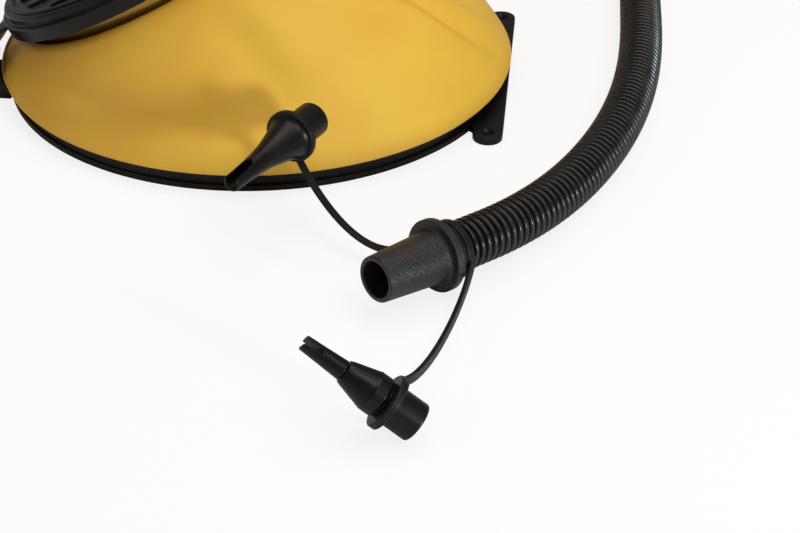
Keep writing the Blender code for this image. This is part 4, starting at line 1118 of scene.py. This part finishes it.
def adapter_short():
    """The lower adapter: a cone on a collar, and a narrow split tube stepped into it."""
    place = joint_frame("adapter_b_spin")
    half, cone, tip = EYELET_HALF + GAP, ADAPTER_B_CONE_END, ADAPTER_B_TUBE_END
    profile = rounded([
        (0.0036, cone, 0.0003), (0.0053, cone, 0.0007), (0.0061, cone - 0.0022, 0.002),
        (0.0091, 0.0106, 0.0022), (0.0095, 0.0096, 0.0012), (0.0095, 0.0043, 0.0007),
        (0.0087, 0.0034, 0.0004), (0.0087, half, 0.0002), (WAIST_RADIUS, half, 0),
    ] + socket_side(ADAPTER_B_SOCKET_END, 0.0011, 0.0085))
    item = turned("adapter_short_body", profile, 96, place)
    finish_piece(item, "adapter_b_plug", "black_plastic", ADAPTER, "adapter_b_body")
    step, inner_end = cone + GAP, 0.0125
    corners = rounded([
        (0.0016, tip, 0.0003), (0.0036, tip, 0.0008), (0.0040, tip - 0.009, 0.02),
        (0.0047, step, 0.0005), (0.0033, step, 0), (0.0033, inner_end, 0),
        (0.0016, inner_end, 0),
    ])
    tube = turned("adapter_short_tip", corners, 64, place)
    low = tip - ADAPTER_B_SLIT_LENGTH
    cut(tube, [slit(0.0023, low, tip, (-0.0070, 0.0070), place, math.radians(-25), 1.6)])
    finish_piece(tube, "adapter_b_plug", "black_plastic", ADAPTER, "adapter_b_tip")


# ------------------------------------------------------------- hinge pin and carried nodes


def hinge_pin():
    """The headed pin through the knuckles and the washer pushed on its other end."""
    start = KNUCKLE_SPANS[2][1] + GAP
    place = frame_along((HINGE_X, -start, HINGE_Z), (0, 1, 0))
    near_axis = 0.0001
    outline = rounded([
        (near_axis, PIN_LENGTH, 0), (PIN_RADIUS, PIN_LENGTH, 0.0007), (PIN_RADIUS, 0.0, 0.0002),
        (PIN_HEAD_RADIUS, 0.0, 0.0003), (PIN_HEAD_RADIUS, -PIN_HEAD_HEIGHT, 0.0012),
        (near_axis, -PIN_HEAD_HEIGHT, 0)], False)
    profile = [(0.0, PIN_LENGTH)] + outline + [(0.0, -PIN_HEAD_HEIGHT)]
    item = turned("hinge_rivet", profile, 64, place)
    finish_piece(item, "base", "zinc_steel", ZINC, "hinge_pin")
    place = frame_along((HINGE_X, start, HINGE_Z), (0, 1, 0))
    bore = PIN_RADIUS + GAP
    washer = turned("push_on_washer", rounded([
        (0.0058, 0.0012, 0.0004), (0.0058, 0.0, 0.0002), (bore, 0.0, 0.0001),
        (bore, 0.0016, 0.0002), (0.0044, 0.0016, 0.0004)]), 64, place)
    finish_piece(washer, "base", "zinc_steel", ZINC, "hinge_pin_washer")


def carried():
    """The remaining CAD nodes keep their shape and get rounded edges and their material."""
    finishes = {
        "base_hem_ring": (BLACK, 0.0003), "top_hem_ring": (BLACK, 0.0003),
        "intake_flap": (RUBBER, 0.0003), "outlet_flap": (RUBBER, 0.0002),
        "intake_flap_clip": (BLACK, 0.0003), "outlet_valve_box": (BLACK, 0.0003),
    }
    for name, item in frame["nodes"].items():
        if "_ring_screw_" in name:
            finishes[name] = (ZINC, 0.0001)
        if name not in finishes:
            continue
        material, bevel = finishes[name]
        item.data.materials.clear()
        item.data.materials.append(material)
        edge = item.modifiers.new("edge", "BEVEL")
        edge.width = bevel
        edge.segments = 2
        edge.limit_method = "ANGLE"
        edge.angle_limit = math.radians(40)


# --------------------------------------------------------------------- floor, light, camera


def floor_material():
    """A pale floor that stays near white to the camera, with its shadows kept soft."""
    material = bpy.data.materials.new("pale_floor")
    material.use_nodes = True
    tree = material.node_tree
    surface = tree.nodes["Principled BSDF"]
    surface.inputs["Base Color"].default_value = (0.90, 0.925, 0.96, 1.0)
    surface.inputs["Roughness"].default_value = 0.85
    glow = new_node(tree, "ShaderNodeEmission",
                    (("Color", (1.0, 1.0, 1.0, 1.0)), ("Strength", 1.07)))
    seen = new_node(tree, "ShaderNodeLightPath").outputs["Is Camera Ray"]
    share = new_node(tree, "ShaderNodeMath", operation="MULTIPLY")
    share.inputs[1].default_value = 0.76
    tree.links.new(seen, share.inputs[0])
    both = new_node(tree, "ShaderNodeMixShader")
    tree.links.new(share.outputs[0], both.inputs[0])
    tree.links.new(surface.outputs[0], both.inputs[1])
    tree.links.new(glow.outputs[0], both.inputs[2])
    tree.links.new(both.outputs[0], tree.nodes["Material Output"].inputs["Surface"])
    return material


def studio():
    bm = bmesh.new()
    bmesh.ops.create_grid(bm, x_segments=4, y_segments=4, size=6.0)
    floor = add_mesh("floor", bm)
    floor.location.z = -0.0002
    floor.data.materials.append(floor_material())
    world = bpy.data.worlds.new("studio")
    bpy.context.scene.world = world
    world.use_nodes = True
    backdrop = world.node_tree.nodes["Background"]
    backdrop.inputs["Color"].default_value = (1.0, 0.94, 0.87, 1.0)
    backdrop.inputs["Strength"].default_value = 0.20
    warm, cool = (1.0, 0.90, 0.80), (0.86, 1.0, 1.0)
    lamp("key", (0.85, -0.60, 1.45), (0.05, -0.10, 0.02), 0.80, 0.80, 7.6, warm)
    lamp("low", (1.24, -1.14, 0.24), (0.04, -0.16, 0.045), 0.22, 0.22, 13.0, cool)
    lamp("fill", (-1.3, -0.8, 1.0), (0.0, -0.1, 0.0), 1.2, 0.8, 3.4, warm)
    lamp("top", (0.25, 0.35, 1.7), (0.05, 0.0, 0.0), 1.2, 0.9, 9.6, warm)


def lamp(name, place, target, width, height, power, colour):
    light = bpy.data.lights.new(name, "AREA")
    light.color = colour
    light.shape = "RECTANGLE"
    light.size = width
    light.size_y = height
    light.energy = power
    item = bpy.data.objects.new(name, light)
    item.location = place
    item.rotation_euler = (Vector(target) - Vector(place)).to_track_quat("-Z", "Y").to_euler()
    bpy.context.scene.collection.objects.link(item)


def camera():
    """Looks down at the pump's front right corner from standing height."""
    pitch, yaw, roll = math.radians(34.05), math.radians(5.66), math.radians(0.53)
    ahead = Vector((-math.sin(yaw) * math.cos(pitch), math.cos(yaw) * math.cos(pitch),
                    -math.sin(pitch)))
    level = Vector((math.cos(yaw), math.sin(yaw), 0.0))
    above = level.cross(ahead)
    right = level * math.cos(roll) + above * math.sin(roll)
    top = above * math.cos(roll) - level * math.sin(roll)
    lens = bpy.data.cameras.new("camera")
    lens.lens = 74.04
    lens.sensor_width = 36.0
    item = bpy.data.objects.new("camera", lens)
    turn = Matrix((right, top, -ahead)).transposed().to_4x4()
    item.matrix_world = Matrix.Translation((0.1758, -0.8933, 0.4633)) @ turn
    bpy.context.scene.collection.objects.link(item)
    bpy.context.scene.camera = item


base_plate()
top_plate()
bellows()
return_spring()
ribbed_hose()
hose_cuff()
nozzle()
strap_a()
strap_b()
adapter_long()
adapter_short()
hinge_pin()
carried()
studio()
camera()
bpy.context.scene.view_settings.view_transform = "Standard"
